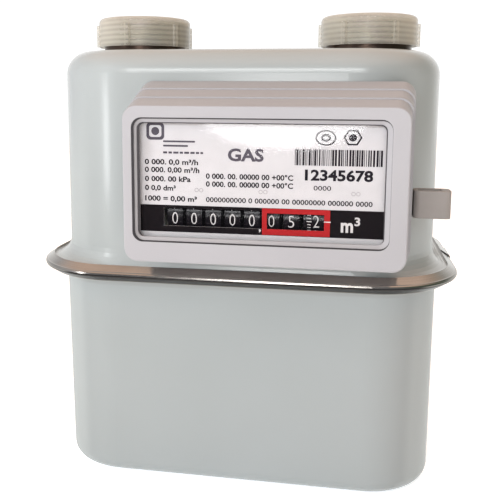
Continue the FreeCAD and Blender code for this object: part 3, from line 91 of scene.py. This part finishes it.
class Nodes:
    """Short calls for the node kinds that the materials and the world share."""

    def __init__(self, tree, coordinates):
        self.tree = tree
        self.place = self.node("TexCoord").outputs[coordinates]

    def node(self, kind, inputs=None, **settings):
        """A new node; each input is a value or another node's output."""
        item = self.tree.nodes.new("ShaderNode" + kind)
        for name, value in settings.items():
            setattr(item, name, value)
        for name, value in (inputs or {}).items():
            if isinstance(value, bpy.types.NodeSocket):
                self.tree.links.new(value, item.inputs[name])
            else:
                item.inputs[name].default_value = value
        return item

    def mix(self, share, first, second):
        """Two colours mixed by a share."""
        colours = [value if isinstance(value, bpy.types.NodeSocket) else rgba(value)
                   for value in (first, second)]
        item = self.node("Mix", {"Factor": share, **dict(zip(MIX_COLOURS, colours))},
                         data_type="RGBA")
        return item.outputs[MIX_RESULT]

    def scaled(self, value, low, high, start=0.0, end=1.0, **settings):
        """Low to high while a value goes from start to end, and level beyond."""
        item = self.node("MapRange", {"Value": value, "From Min": start, "From Max": end,
                                      "To Min": low, "To Max": high}, **settings)
        return item.outputs["Result"]


class Shader(Nodes):
    """A material under construction.  Its textures use the object's own metres."""

    def __init__(self, name):
        self.material = bpy.data.materials.new(name)
        self.material.use_nodes = True
        self.material.node_tree.nodes.clear()
        super().__init__(self.material.node_tree, "Object")
        self.output = self.node("OutputMaterial")

    def stretched(self, scale):
        """Object coordinates scaled differently along each axis."""
        return self.node("Mapping", {"Vector": self.place, "Scale": scale}).outputs["Vector"]

    def noise(self, scale, detail=3.0, rough=0.5, vector=None):
        return self.node("TexNoise", {"Vector": vector or self.place, "Scale": scale,
                                      "Detail": detail, "Roughness": rough}).outputs["Fac"]

    def cells(self, scale):
        return self.node("TexVoronoi", {"Vector": self.place, "Scale": scale}).outputs["Distance"]

    def waves(self, scale, distortion, direction):
        return self.node("TexWave", {"Vector": self.place, "Scale": scale, "Distortion": distortion},
                         wave_type="BANDS", bands_direction=direction).outputs["Fac"]

    def maths(self, operation, *values, clamp=False):
        return self.node("Math", dict(enumerate(values)), operation=operation,
                         use_clamp=clamp).outputs[0]

    def ramp(self, value, *stops):
        """Colours or greys at given positions along a 0 to 1 value."""
        item = self.node("ValToRGB", {"Fac": value})
        elements = item.color_ramp.elements
        while len(elements) < len(stops):
            elements.new(0.5)
        for element, (position, colour) in zip(elements, stops):
            element.position = position
            element.color = rgba(colour)
        return item.outputs["Color"]

    def tones(self, value, first, second, margin=0.3):
        """From one colour to another over the middle of a noise, where most of its values lie."""
        return self.ramp(value, (margin, first), (1 - margin, second))

    def band(self, start, end, low, high):
        """A value that goes from low to high between two heights of the object."""
        height = self.node("SeparateXYZ", {"Vector": self.place}).outputs["Z"]
        return self.scaled(height, low, high, start, end)

    def sheen(self, straight):
        """Share of light that a clear skin reflects, from straight on to grazing."""
        facing = self.node("LayerWeight", {"Blend": 0.5}).outputs["Facing"]
        return self.scaled(self.maths("POWER", facing, SCHLICK_POWER), straight, GRAZING_SHARE)

    def bump(self, height, strength, depth, under=None):
        """Fine relief, laid over another relief where one is given."""
        inputs = {"Height": height, "Strength": strength, "Distance": depth}
        if under:
            inputs["Normal"] = under
        return self.node("Bump", inputs).outputs["Normal"]

    def surface(self, **inputs):
        """A Principled shader; underscores in the input names stand for spaces."""
        named = {name.replace("_", " "): value for name, value in inputs.items()}
        return self.node("BsdfPrincipled", named).outputs["BSDF"]

    def blend(self, share, first, second):
        """Two shaders mixed by a share."""
        return self.node("MixShader", {"Fac": share, 1: first, 2: second}).outputs["Shader"]

    def done(self, shader):
        self.tree.links.new(shader, self.output.inputs["Surface"])
        return self.material


# ---------------------------------------------------------------- finishes

THREAD_PITCH = 2.309 * MM
WAVE_RATE = 20                  # a wave texture's radians per metre at scale 1


def case_paint():
    """Light grey enamel: fine orange peel, cloudy tone, faint specks and scuffs."""
    s = Shader("case_paint")
    tone = s.tones(s.noise(9, detail=4), srgb(142, 149, 150), srgb(147, 154, 156))
    specks = s.ramp(s.cells(420), (0.0, 0.0), (0.06, 1.0))
    tone = s.mix(s.scaled(specks, 0.03, 0.0), tone, srgb(136, 138, 132))
    peel = s.bump(s.noise(620, detail=2), 0.05, 0.4 * MM)
    dents = s.bump(s.noise(24, detail=1), 0.05, 0.9 * MM, peel)
    scuffs = s.ramp(s.noise(60, detail=4, rough=0.6), (0.35, 0.28), (0.75, 0.31))
    return s.done(s.surface(Base_Color=tone, Roughness=scuffs, Normal=dents,
                            Coat_Weight=0.85, Coat_Roughness=0.16))


def band_steel():
    """Polished stainless strip: drawn lines along its length, warm tint, fine scratches.

    Its lower half is darkened as painted shade, and the rolled edge at its foot carries a painted pale
    highlight.
    """
    s = Shader("band_steel")
    drawn = s.noise(1, detail=5, rough=0.6, vector=s.stretched((14, 14, 2600)))
    tone = s.tones(s.noise(22), srgb(172, 166, 160), srgb(198, 192, 186), margin=0.35)
    tone = s.mix(s.scaled(drawn, 0.0, 0.35), tone, srgb(96, 92, 90))
    low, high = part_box("clamp_band")
    middle = (low.z + high.z) / 2
    # Painted shade: the lower half of the band, which faces down towards the case, is darkened.
    dark = s.band(middle - 0.9 * MM, middle - 0.2 * MM, 0.85, 0.0)
    tone = s.mix(dark, tone, srgb(40, 36, 36))
    # Painted highlight: a pale line along the rolled edge at the band's foot.
    lip = s.band(low.z + 0.5 * MM, low.z + 1.1 * MM, 0.9, 0.0)
    tone = s.mix(lip, tone, srgb(204, 190, 178))
    lines = s.bump(drawn, 0.20, 0.06 * MM)
    scratches = s.bump(s.noise(240, detail=5, rough=0.7), 0.10, 0.1 * MM, lines)
    return s.done(s.surface(Base_Color=tone, Metallic=1.0, Roughness=s.scaled(drawn, 0.08, 0.22),
                            Normal=scratches, Anisotropic=0.4))


def zinc():
    """Bright zinc plate, faintly iridescent, with painted shade on the necks in the gap below the caps.
    """
    s = Shader("zinc")
    tone = s.ramp(s.noise(70), (0.3, srgb(196, 188, 196)), (0.5, srgb(205, 203, 190)),
                  (0.7, srgb(186, 192, 200)))
    turned = s.noise(1, rough=0.6, vector=s.stretched((30, 30, 3800)))
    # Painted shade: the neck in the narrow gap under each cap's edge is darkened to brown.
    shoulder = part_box("inlet_cap")[0].z
    above_neck_shade = s.band(shoulder + 0.5 * MM, shoulder + 2.0 * MM, 0.0, 1.0)
    tone = s.mix(above_neck_shade, srgb(84, 69, 61), tone)
    return s.done(s.surface(Base_Color=tone, Metallic=0.9, Roughness=s.scaled(turned, 0.14, 0.30),
                            Normal=s.bump(turned, 0.25, 0.08 * MM)))


def cap_plastic():
    """Thin milky polyethylene that lets the threads show through as pale lines."""
    s = Shader("cap_plastic")
    cloud = s.noise(55)
    tone = s.tones(cloud, srgb(216, 213, 203), srgb(226, 224, 215), margin=0.35)
    haze = s.bump(s.noise(900), 0.08, 0.2 * MM)
    clear = s.node("BsdfTransparent", {"Color": (0.93, 0.92, 0.89, 1)}).outputs["BSDF"]
    milk = s.surface(Base_Color=tone, Roughness=0.5, Normal=haze, Specular_IOR_Level=0.2)
    glow = s.node("BsdfTranslucent", {"Color": tone}).outputs["BSDF"]
    gloss = s.node("BsdfGlossy", {"Roughness": s.scaled(cloud, 0.14, 0.26), "Normal": haze})
    solid = s.blend(0.4, milk, glow)
    facing = s.node("LayerWeight", {"Blend": 0.35}).outputs["Facing"]
    share = s.scaled(facing, 0.24, 0.80)
    crests = s.waves(2 * math.pi / WAVE_RATE / THREAD_PITCH, 0.4, "Z")
    share = s.maths("MULTIPLY_ADD", crests, 0.15, share, clamp=True)
    return s.done(s.blend(s.sheen(0.03), s.blend(share, clear, solid), gloss.outputs["BSDF"]))


def cover_plastic():
    """Moulded grey plastic with flow marks and a fine spark-eroded grain."""
    s = Shader("cover_plastic")
    tone = s.tones(s.noise(14, detail=4), srgb(146, 147, 152), srgb(152, 153, 158))
    flow = s.noise(1, vector=s.stretched((18, 18, 90)))
    tone = s.mix(s.scaled(flow, 0.0, 0.10), tone, srgb(138, 139, 138))
    grain = s.bump(s.noise(1900, rough=0.6), 0.22, 0.2 * MM)
    return s.done(s.surface(Base_Color=tone, Roughness=s.scaled(s.noise(300), 0.34, 0.50),
                            Normal=grain))


def pane_glass():
    """Clear polycarbonate with a trace of haze and dust."""
    s = Shader("pane_glass")
    haze = s.noise(120, detail=5, rough=0.65)
    gloss = s.node("BsdfGlossy", {"Roughness": s.scaled(haze, 0.03, 0.10)})
    share = s.maths("ADD", s.sheen(0.018), s.scaled(haze, 0.0, 0.006), clamp=True)
    return s.done(s.blend(share, s.node("BsdfTransparent").outputs["BSDF"], gloss.outputs["BSDF"]))


def printed(name, colour, rough=0.45):
    """Printing ink or a printed sheet: slight unevenness of tone and gloss."""
    s = Shader(name)
    cloud = s.noise(160, detail=4, rough=0.6)
    return s.done(s.surface(Base_Color=s.tones(cloud, dimmed(colour, 0.94), colour),
                            Roughness=s.scaled(cloud, rough - 0.06, rough + 0.08),
                            Normal=s.bump(s.noise(2400, detail=2), 0.05, 0.1 * MM),
                            Specular_IOR_Level=0.12))


def moulded(name, colour, rough=0.4):
    """Plain moulded plastic with flow clouding and a light grain."""
    s = Shader(name)
    cloud = s.noise(40, detail=4, rough=0.6)
    return s.done(s.surface(Base_Color=s.tones(cloud, dimmed(colour, 0.86), colour),
                            Roughness=s.scaled(cloud, rough - 0.06, rough + 0.10),
                            Normal=s.bump(s.noise(900), 0.10, 0.1 * MM)))


def metal(name, colour, rough=0.25):
    """Machined metal with fine tool marks."""
    s = Shader(name)
    marks = s.noise(1200, detail=4, rough=0.6)
    return s.done(s.surface(Base_Color=s.tones(marks, dimmed(colour, 0.75), colour), Metallic=1.0,
                            Roughness=s.scaled(marks, rough - 0.08, rough + 0.12),
                            Normal=s.bump(marks, 0.15, 0.1 * MM)))


def woven(name, colour):
    """Coated diaphragm cloth with a fine weave."""
    s = Shader(name)
    weave = s.waves(900, 1.5, "DIAGONAL")
    tone = s.mix(s.scaled(weave, 0.0, 0.6), colour, dimmed(colour, 0.7))
    return s.done(s.surface(Base_Color=tone, Roughness=0.7, Normal=s.bump(weave, 0.3, 0.2 * MM)))


# By the record's material slots.
FINISHES = {
    "case_paint": case_paint(),
    "band_steel": band_steel(),
    "zinc": zinc(),
    "cap_plastic": cap_plastic(),
    "cover_plastic": cover_plastic(),
    "pane": pane_glass(),
    "plate_white": printed("plate_white", srgb(184, 184, 188)),
    "drum_black": moulded("drum_black", srgb(16, 12, 18), 0.2),
    "gear_white": moulded("gear_white", srgb(228, 226, 218), 0.42),
    "frame_plastic": moulded("frame_plastic", srgb(214, 212, 204), 0.45),
    "shaft_steel": metal("shaft_steel", srgb(200, 200, 202)),
    "brass": metal("brass", srgb(206, 168, 96)),
    "magnet": metal("magnet", srgb(92, 92, 96), 0.4),
    "chamber_plastic": moulded("chamber_plastic", srgb(70, 74, 80), 0.5),
    "pan_plastic": moulded("pan_plastic", srgb(196, 192, 176), 0.45),
    "cloth": woven("cloth", srgb(96, 74, 58)),
    "gasket": moulded("gasket", srgb(34, 34, 34), 0.6),
}
INK_BLACK = printed("ink_black", srgb(24, 20, 28))
INK_GREY = printed("ink_grey", srgb(74, 70, 80))
FIELD_BLACK = printed("field_black", srgb(16, 10, 14), 0.5)
FIELD_RED = printed("field_red", srgb(152, 25, 29), 0.5)
DIGIT_WHITE = printed("digit_white", srgb(188, 187, 189), 0.4)
# Painted shade: grey for the rings of the plate's embossed beads.
PAINTED_BEAD_SHADE = printed("painted_bead_shade", srgb(156, 154, 158), 0.5)
# Dark greys painted round the window as the shade of its recess walls.
PANE_EDGE_SHADE = moulded("pane_edge_shade", srgb(66, 64, 68), 0.45)
RECESS_EDGE_SHADE = moulded("recess_edge_shade", srgb(44, 42, 46), 0.5)
# Painted shade: the seal lug's plastic, darkened as if its front lay in shade.
SHADED_LUG_PLASTIC = moulded("shaded_lug_plastic", srgb(134, 131, 129), 0.42)

SHARP_EDGE = math.radians(32)   # edges between faces that turn further than this stay sharp


def dress_nodes():
    """Give every CAD node its slot's finish and smooth its rounded faces; the seal lug gets a darker
    plastic as painted shade.
    """
    slots = {row["node"]: row["material_slot"] for row in frame["record"]["subparts"]}
    for name, item in nodes.items():
        mesh = item.data
        mesh.materials.clear()
        mesh.materials.append(FINISHES[slots[name]])
        mesh.polygons.foreach_set("use_smooth", [True] * len(mesh.polygons))
        mesh.set_sharp_from_angle(angle=SHARP_EDGE)
    # Painted shade: the seal lug gets the darker plastic instead of its slot's finish.
    nodes["seal_lug"].data.materials[0] = SHADED_LUG_PLASTIC


# ---------------------------------------------------------------- shapes

SINK = 0.01 * MM                # raised shapes reach this far into what they stand on
DIGIT_SHARE = 0.70              # height of a digit in a font of size 1


def piece(name, shape, material, body):
    """A finished mesh object that rides on a CAD body."""
    mesh = bpy.data.meshes.new(name)
    bmesh.ops.recalc_face_normals(shape, faces=shape.faces)
    shape.to_mesh(mesh)
    shape.free()
    item = bpy.data.objects.new(name, mesh)
    scene.collection.objects.link(item)
    mesh.materials.append(material)
    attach(item, body)


def join(shape, part):
    """Move one shape into another."""
    mesh = bpy.data.meshes.new("part")
    part.to_mesh(mesh)
    part.free()
    shape.from_mesh(mesh)
    bpy.data.meshes.remove(mesh)


def prism(shape, outline, face, thick, hole=None):
    """Add a closed flat prism, with or without a hole, standing proud of a face."""
    def ring(points, y):
        return [shape.verts.new((x * MM, y, z * MM)) for x, z in points]

    def strip(first, second):
        count = len(first)
        for index in range(count):
            after = (index + 1) % count
            shape.faces.new((first[index], first[after], second[after], second[index]))

    front, back = ring(outline, face - thick), ring(outline, face + SINK)
    strip(front, back)
    if hole is None:
        shape.faces.new(front)
        shape.faces.new(back)
        return
    inner_front, inner_back = ring(hole, face - thick), ring(hole, face + SINK)
    strip(inner_front, inner_back)
    strip(front, inner_front)
    strip(back, inner_back)


def rectangle(left, right, low, high):
    return [(left, low), (right, low), (right, high), (left, high)]


def rounded(left, right, low, high, radius, steps=5):
    """A rectangle outline with round corners."""
    points = []
    corners = ((right - radius, low + radius, -90), (right - radius, high - radius, 0),
               (left + radius, high - radius, 90), (left + radius, low + radius, 180))
    for x, z, start in corners:
        for step in range(steps + 1):
            angle = math.radians(start + 90 * step / steps)
            points.append((x + radius * math.cos(angle), z + radius * math.sin(angle)))
    return points


def oval(x, z, wide, high, steps=28):
    """An ellipse of two half-widths or, with few steps, a polygon."""
    angles = [2 * math.pi * step / steps for step in range(steps)]
    return [(x + wide * math.cos(angle), z + high * math.sin(angle)) for angle in angles]


def glyphs(text, height, thick, weight=0.0, width=None):
    """Text as a closed mesh in X (across) and Z (up), in metres, its lower left at the origin.

    height, in millimetres, is a digit's; width, where given, is the whole text's.
    """
    curve = bpy.data.curves.new("glyphs", "FONT")
    curve.body = text
    curve.resolution_u = 3
    curve.extrude = 0.5
    curve.offset = weight
    item = bpy.data.objects.new("glyphs", curve)
    scene.collection.objects.link(item)
    bpy.context.view_layer.update()
    evaluated = item.evaluated_get(bpy.context.evaluated_depsgraph_get())
    mesh = bpy.data.meshes.new_from_object(evaluated)
    bpy.data.objects.remove(item)
    shape = bmesh.new()
    shape.from_mesh(mesh)
    bpy.data.meshes.remove(mesh)
    bmesh.ops.remove_doubles(shape, verts=shape.verts, dist=0.0005)
    left = min(vert.co.x for vert in shape.verts)
    right = max(vert.co.x for vert in shape.verts)
    tall = height / DIGIT_SHARE * MM
    across = width * MM / (right - left) if width else tall
    for vert in shape.verts:
        x, up, out = vert.co
        vert.co = ((x - left) * across, -out * thick, up * tall)
    return shape


# ---------------------------------------------------------------- the plate's printing

PLATE_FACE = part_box("data_plate")[0].y
PRINT_THICK = 0.06 * MM
MASK_THICK = 0.10 * MM          # of the counter's black band, and of the red frame on it
RED_FRAME_SIDE = 43 * MM        # marks left of this lie on the red frame, the others on the band

# Text, left, foot, digit height, weight and whole width.
PLATE_TEXT = (
    ("0 000. 0,0 m³/h", -32.0, 150.3, 2.0, 0.028, 21.5),
    ("0 000. 0,00 m³/h", -32.0, 147.2, 2.0, 0.028, 22.0),
    ("0 000. 00 kPa", -32.0, 143.6, 2.0, 0.028, 18.5),
    ("0 0,0 dm³", -32.0, 140.0, 2.0, 0.028, 12.5),
    ("1000 = 0,00 m³", -32.0, 135.8, 2.0, 0.028, 21.0),
    ("0 000. 00. 00000 00 +00°C", -7.4, 145.1, 2.0, 0.028, 34.0),
    ("0 000. 00. 00000 00 +00°C", -7.4, 142.0, 2.0, 0.028, 34.0),
    ("0000000000 0 000000 00 00000000 000000 0000", -7.4, 135.9, 1.9, 0.018, 64.0),
    ("12345678", 31.0, 145.5, 3.9, 0.035, 25.5),
    ("0000", 34.4, 141.6, 1.8, 0.008, 6.6),
)
TITLE_TEXT = ("GAS", 1.2, 152.3, 4.6, 0.035, 14.0)
COUNTER_TEXT = (("m", 45.0, 125.9, 5.2, 0.03, 4.6), ("3", 50.1, 128.5, 3.1, 0.025, 2.1),
                (",", 13.6, 125.2, 3.2, 0.02))

DISC = (-27.6, 163.3)
RING_MARK = (38.6, 161.6)
HEXAGON_MARK = (48.6, 161.8)
BEADS = ((-10.2, 140.45), (15.05, 140.4), (50.3, 140.6))


def stamp(shape, text, x, z, height, weight=0.0, width=None):
    """Add flat printed text at a place on the data plate."""
    letters = glyphs(text, height, PRINT_THICK, weight, width)
    for vert in letters.verts:
        vert.co += Vector((x * MM, PLATE_FACE - PRINT_THICK / 2 + SINK, z * MM))
    join(shape, letters)


def mark(shape, outline, hole=None):
    """Add a printed outline on the data plate."""
    prism(shape, outline, PLATE_FACE, PRINT_THICK, hole)


def plate_print():
    """The plate's black text: placeholder ratings and number."""
    shape = bmesh.new()
    for line in PLATE_TEXT:
        stamp(shape, *line)
    piece("plate_print", shape, INK_BLACK, "meter")


def plate_title():
    """The title, a plain emblem and three lines of filler, in dark grey."""
    shape = bmesh.new()
    stamp(shape, *TITLE_TEXT)
    mark(shape, rounded(-31.2, -24.0, 159.9, 166.7, 1.6), rounded(-30.1, -25.1, 161.0, 165.6, 1.0))
    mark(shape, oval(*DISC, 1.6, 1.6))
    for low, left, right in ((159.0, -24.5, -11.7), (157.3, -24.5, -14.5)):
        mark(shape, rounded(left, right, low, low + 0.7, 0.3, 3))
    x, last, end = -24.5, -9.5, -8.5
    while x < last:
        wide = chance.uniform(1.2, 2.6)
        mark(shape, rectangle(x, min(x + wide, end), 154.6, 155.4))
        x += wide + 0.5
    piece("plate_title", shape, INK_GREY, "meter")


def plate_bars():
    """A bar pattern of random widths that encodes nothing, and two plain marks."""
    shape = bmesh.new()
    x, last = 27.1, 59.8
    while x < last:
        wide = chance.choice((0.26, 0.26, 0.5, 0.75))
        mark(shape, rectangle(x, x + wide, 151.05, 157.2))
        x += wide + chance.choice((0.28, 0.28, 0.5))
    mark(shape, oval(*RING_MARK, 3.9, 3.0), oval(*RING_MARK, 3.3, 2.4))
    mark(shape, oval(*RING_MARK, 1.8, 1.5), oval(*RING_MARK, 1.0, 0.7))
    mark(shape, oval(*HEXAGON_MARK, 3.5, 3.3, 6), oval(*HEXAGON_MARK, 2.8, 2.6, 6))
    mark(shape, oval(*HEXAGON_MARK, 1.5, 1.4, 20))
    piece("plate_bars", shape, INK_BLACK, "meter")


def counter_mask():
    """The black band round the counter, the red frame of its last places, and white marks."""
    shape = bmesh.new()
    prism(shape, rectangle(-33.95, 61.2, 123.5, 134.2), PLATE_FACE, MASK_THICK,
          rectangle(-24.4, 40.0, 125.9, 133.1))
    piece("counter_band", shape, FIELD_BLACK, "meter")
    shape = bmesh.new()
    prism(shape, rectangle(14.8, 40.9, 123.7, 134.1), PLATE_FACE - MASK_THICK, MASK_THICK,
          rectangle(16.7, 38.7, 126.0, 132.2))
    piece("counter_red_frame", shape, FIELD_RED, "meter")
    shape = bmesh.new()
    for line in COUNTER_TEXT:
        stamp(shape, *line)
    mark(shape, rectangle(38.6, 41.2, 129.35, 129.7))
    for vert in shape.verts:
        vert.co.y -= 2 * MASK_THICK if vert.co.x < RED_FRAME_SIDE else MASK_THICK
    piece("counter_marks", shape, DIGIT_WHITE, "meter")


def plate_beads():
    """Three shallow embossed beads under the rating lines, each of two grey rings painted as the shade of
    the embossing.
    """
    shape = bmesh.new()
    for x, z in BEADS:
        for offset in (-0.9, 0.9):
            prism(shape, oval(x + offset, z, 0.85, 0.85, 20), PLATE_FACE, 0.05 * MM,
                  oval(x + offset, z, 0.55, 0.55, 20))
    piece("plate_beads", shape, PAINTED_BEAD_SHADE, "meter")


def window_lines():
    """Painted shade: a thin dark ring round the pane and a darker one round the recess's edge, standing
    in for the shaded walls of the recess.

    Both are widest on the left, as the photograph shows them.
    """
    low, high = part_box("index_window")
    left, right, down, up = low.x / MM, high.x / MM, low.z / MM, high.z / MM
    # Painted shade: a dark ring round the pane.
    shape = bmesh.new()
    prism(shape, rounded(left + 1.3, right - 1.3, down + 0.7, up - 1.3, 2.7, 6), low.y, 0.12 * MM,
          rounded(left + 2.3, right - 1.8, down + 1.1, up - 1.8, 2.3, 6))
    piece("pane_edge_shade", shape, PANE_EDGE_SHADE, "meter")
    # Painted shade: a darker ring round the recess's edge.
    shape = bmesh.new()
    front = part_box("index_cover")[0].y
    prism(shape, rounded(left - 0.75, right + 0.75, down - 0.75, up + 0.75, 4.3, 6),
          front + 0.40 * MM, 0.34 * MM,
          rounded(left + 0.55, right + 0.35, down + 0.15, up - 0.05, 3.7, 6))
    piece("recess_edge_shade_ring", shape, RECESS_EDGE_SHADE, "meter")


# ---------------------------------------------------------------- the counter's digits

drum_low, drum_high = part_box("number_drum_1")
DRUM_AXIS = (drum_low + drum_high) / 2
DRUM_RADIUS = (drum_high.z - drum_low.z) / 2
DRUM_MIDDLE = 3.1 * MM          # from a drum's left side to the middle of its digits
LAST_MIDDLE = 35.6 * MM         # where the last drum's digits lie, beside its ticks
READING = (0, 0, 0, 0, 0, 0, 5)
LAST_READING = 2

DIGITS = 10
DIGIT_HEIGHT = 4.9
DIGIT_WIDTH, ONE_WIDTH = 2.3, 1.2
TICKS = 50
TICK_HEIGHT = 0.28 * MM
TICK_OFFSET = 2.75 * MM         # from the middle of the digits, to the left
RELIEF = 0.10 * MM
SLICE = 0.45 * MM               # digits are cut at this spacing so that they bend smoothly


def wrapped(letters, x_middle, angle):
    """Bend a flat shape round a drum: its height becomes arc, centred at an angle from -Y."""
    low = min(vert.co.z for vert in letters.verts)
    high = max(vert.co.z for vert in letters.verts)
    left = min(vert.co.x for vert in letters.verts)
    right = max(vert.co.x for vert in letters.verts)
    level = low + SLICE
    while level < high:
        bmesh.ops.bisect_plane(letters, geom=letters.verts[:] + letters.edges[:] + letters.faces[:],
                               plane_co=(0, 0, level), plane_no=(0, 0, 1))
        level += SLICE
    for vert in letters.verts:
        turn = angle + (vert.co.z - (low + high) / 2) / DRUM_RADIUS
        out = DRUM_RADIUS - vert.co.y
        vert.co = (x_middle + vert.co.x - (left + right) / 2, DRUM_AXIS.y - out * math.cos(turn),
                   DRUM_AXIS.z + out * math.sin(turn))


def drum_digits(drum, shown, x_middle, nudge, ticks=False):
    """The raised white digits of one drum, the shown one in front, turned on by a nudge."""
    shape = bmesh.new()
    start = nudge / DRUM_RADIUS
    for digit in range(DIGITS):
        width = ONE_WIDTH if digit == 1 else DIGIT_WIDTH
        letters = glyphs(str(digit), DIGIT_HEIGHT, RELIEF, -0.012, width)
        places_on = (digit - shown) % DIGITS
        wrapped(letters, x_middle, start - math.radians(360 / DIGITS * places_on))
        join(shape, letters)
    for step in range(TICKS if ticks else 0):
        long = (1.9 if step % 5 == 0 else 1.3) * MM
        tick = bmesh.new()
        bmesh.ops.create_cube(tick, size=1.0)
        for vert in tick.verts:
            vert.co = (vert.co.x * long, vert.co.y * RELIEF, vert.co.z * TICK_HEIGHT)
        wrapped(tick, x_middle - TICK_OFFSET, start - math.radians(360 / TICKS * step))
        join(shape, tick)
    piece("drum_digits_%d" % drum, shape, DIGIT_WHITE, "number_drum_%d" % drum)


def counter_digits():
    """Digits of all eight drums, at the reading 00000,052."""
    for drum, shown in enumerate(READING, start=1):
        low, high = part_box("number_drum_%d" % drum)
        drum_digits(drum, shown, low.x + DRUM_MIDDLE, -0.6 * MM)
    drum_digits(len(READING) + 1, LAST_READING, LAST_MIDDLE, -0.2 * MM, ticks=True)


dress_nodes()
plate_print()
plate_title()
plate_bars()
counter_mask()
plate_beads()
window_lines()
counter_digits()


# ---------------------------------------------------------------- camera, light and floor

COOL, PLAIN = (0.97, 0.99, 1.0), (1, 1, 1)

# Name, shape, place, aim, width and height, watts, colour, and whether gloss shows it.  Two large
# lamps fill the scene, and three small ones put the highlights on the case, cover and pane.
LAMPS = (
    ("strip", "RECTANGLE", (-0.06, -0.80, 0.38), (-0.06, -0.08, 0.15), (0.72, 0.26), 2.0, COOL, False),
    ("key", "RECTANGLE", (-0.52, -0.46, 0.38), (-0.02, 0, 0.08), (0.18, 0.42), 2.2, COOL, False),
    ("shine", "RECTANGLE", (-0.02, -0.80, 0.43), (-0.02, -0.08, 0.15), (0.72, 0.11), 1.7, COOL, True),
    ("edge", "RECTANGLE", (-0.52, -0.46, 0.12), (-0.08, -0.07, 0.15), (0.09, 0.14), 0.24, COOL, True),
    ("glint", "ELLIPSE", (-0.041, -0.78, 0.154), (0.023, -0.082, 0.171), (0.24, 0.10), 0.52, PLAIN, True),
)


def camera():
    """The photograph's view: a little right of straight on and a little above."""
    yaw, pitch, roll = (math.radians(angle) for angle in (9.58, 7.96, 0.28))
    target, distance = Vector((-10.44, 0, 128.99)) * MM, 350.06 * MM
    back = Vector((math.sin(yaw) * math.cos(pitch), -math.cos(yaw) * math.cos(pitch),
                   math.sin(pitch)))
    across = Vector((math.cos(yaw), math.sin(yaw), 0))
    upward = back.cross(across)
    right = across * math.cos(roll) + upward * math.sin(roll)
    top = upward * math.cos(roll) - across * math.sin(roll)
    turn = Matrix((right, top, back)).transposed()
    data = bpy.data.cameras.new("camera")
    item = bpy.data.objects.new("camera", data)
    scene.collection.objects.link(item)
    item.matrix_world = Matrix.Translation(target + back * distance) @ turn.to_4x4()
    data.sensor_width = 36
    data.lens = 49.81
    data.shift_x = 0.0357
    data.shift_y = -0.117
    data.clip_start = 0.01
    scene.camera = item


def lamp(name, shape, place, aim, size, watts, colour, in_gloss):
    """A soft box aimed at a point."""
    data = bpy.data.lights.new(name, "AREA")
    data.shape = shape
    data.size, data.size_y = size
    data.energy = watts
    data.color = colour
    item = bpy.data.objects.new(name, data)
    scene.collection.objects.link(item)
    item.location = place
    item.rotation_euler = (Vector(aim) - Vector(place)).to_track_quat("-Z", "Y").to_euler()
    item.visible_glossy = in_gloss


def sky(world):
    """Surroundings by direction, and plain white where the camera sees them.

    Pale on the left, dim and green on the right, dim in front, bright behind, warm overhead
    (less so in gloss), and below the horizon dark in front and pale behind.
    """
    s = Nodes(world.node_tree, "Generated")
    axes = s.node("SeparateXYZ", {"Vector": s.place}).outputs
    path = s.node("LightPath").outputs

    def towards(axis, start, end):
        return s.scaled(axes[axis], 0.0, 1.0, start, end, interpolation_type="SMOOTHSTEP")

    around = s.mix(towards("X", -0.6, 0.6), (0.58, 0.595, 0.62), (0.13, 0.16, 0.125))
    around = s.mix(towards("Y", -0.5, -0.95), around, (0.20, 0.205, 0.215))
    around = s.mix(towards("Y", 0.4, 0.95), around, (1.05, 1.06, 1.05))
    overhead = s.mix(path["Is Glossy Ray"], (1.52, 1.04, 0.76), (0.98, 0.76, 0.63))
    around = s.mix(towards("Z", 0.40, 0.85), around, overhead)
    below = s.mix(towards("Y", -0.25, 0.05), (0.09, 0.09, 0.10), (0.80, 0.82, 0.80))
    around = s.mix(towards("Z", -0.02, -0.12), around, below)
    around = s.mix(path["Is Camera Ray"], around, (1.1, 1.1, 1.1))
    background = s.tree.nodes["Background"]
    s.tree.links.new(around, background.inputs["Color"])
    background.inputs["Strength"].default_value = 1.0


def studio():
    """Soft surroundings and the lamps."""
    world = bpy.data.worlds.new("studio")
    world.use_nodes = True
    scene.world = world
    sky(world)
    for row in LAMPS:
        lamp(*row)
    scene.view_settings.view_transform = "Standard"


def floor():
    """A pale glowing sheet under the meter, as in a light tent.

    Gloss doesn't show it, so that it leaves no pale veil on the pane and the ink.
    """
    mesh = bpy.data.meshes.new("floor")
    shape = bmesh.new()
    bmesh.ops.create_grid(shape, x_segments=8, y_segments=8, size=3.0)
    shape.to_mesh(mesh)
    shape.free()
    item = bpy.data.objects.new("floor", mesh)
    scene.collection.objects.link(item)
    item.location.z = cad_low.z
    item.visible_glossy = False
    s = Shader("floor_paper")
    cloud = s.noise(30, detail=4, rough=0.6)
    mesh.materials.append(s.done(s.surface(
        Base_Color=s.tones(cloud, srgb(246, 246, 246), srgb(250, 250, 250)), Roughness=0.8,
        Specular_IOR_Level=0.1, Emission_Color=(0.90, 0.95, 1, 1),
        Emission_Strength=s.scaled(cloud, 0.50, 0.52), Normal=s.bump(cloud, 0.02, 0.5 * MM))))


camera()
studio()
floor()
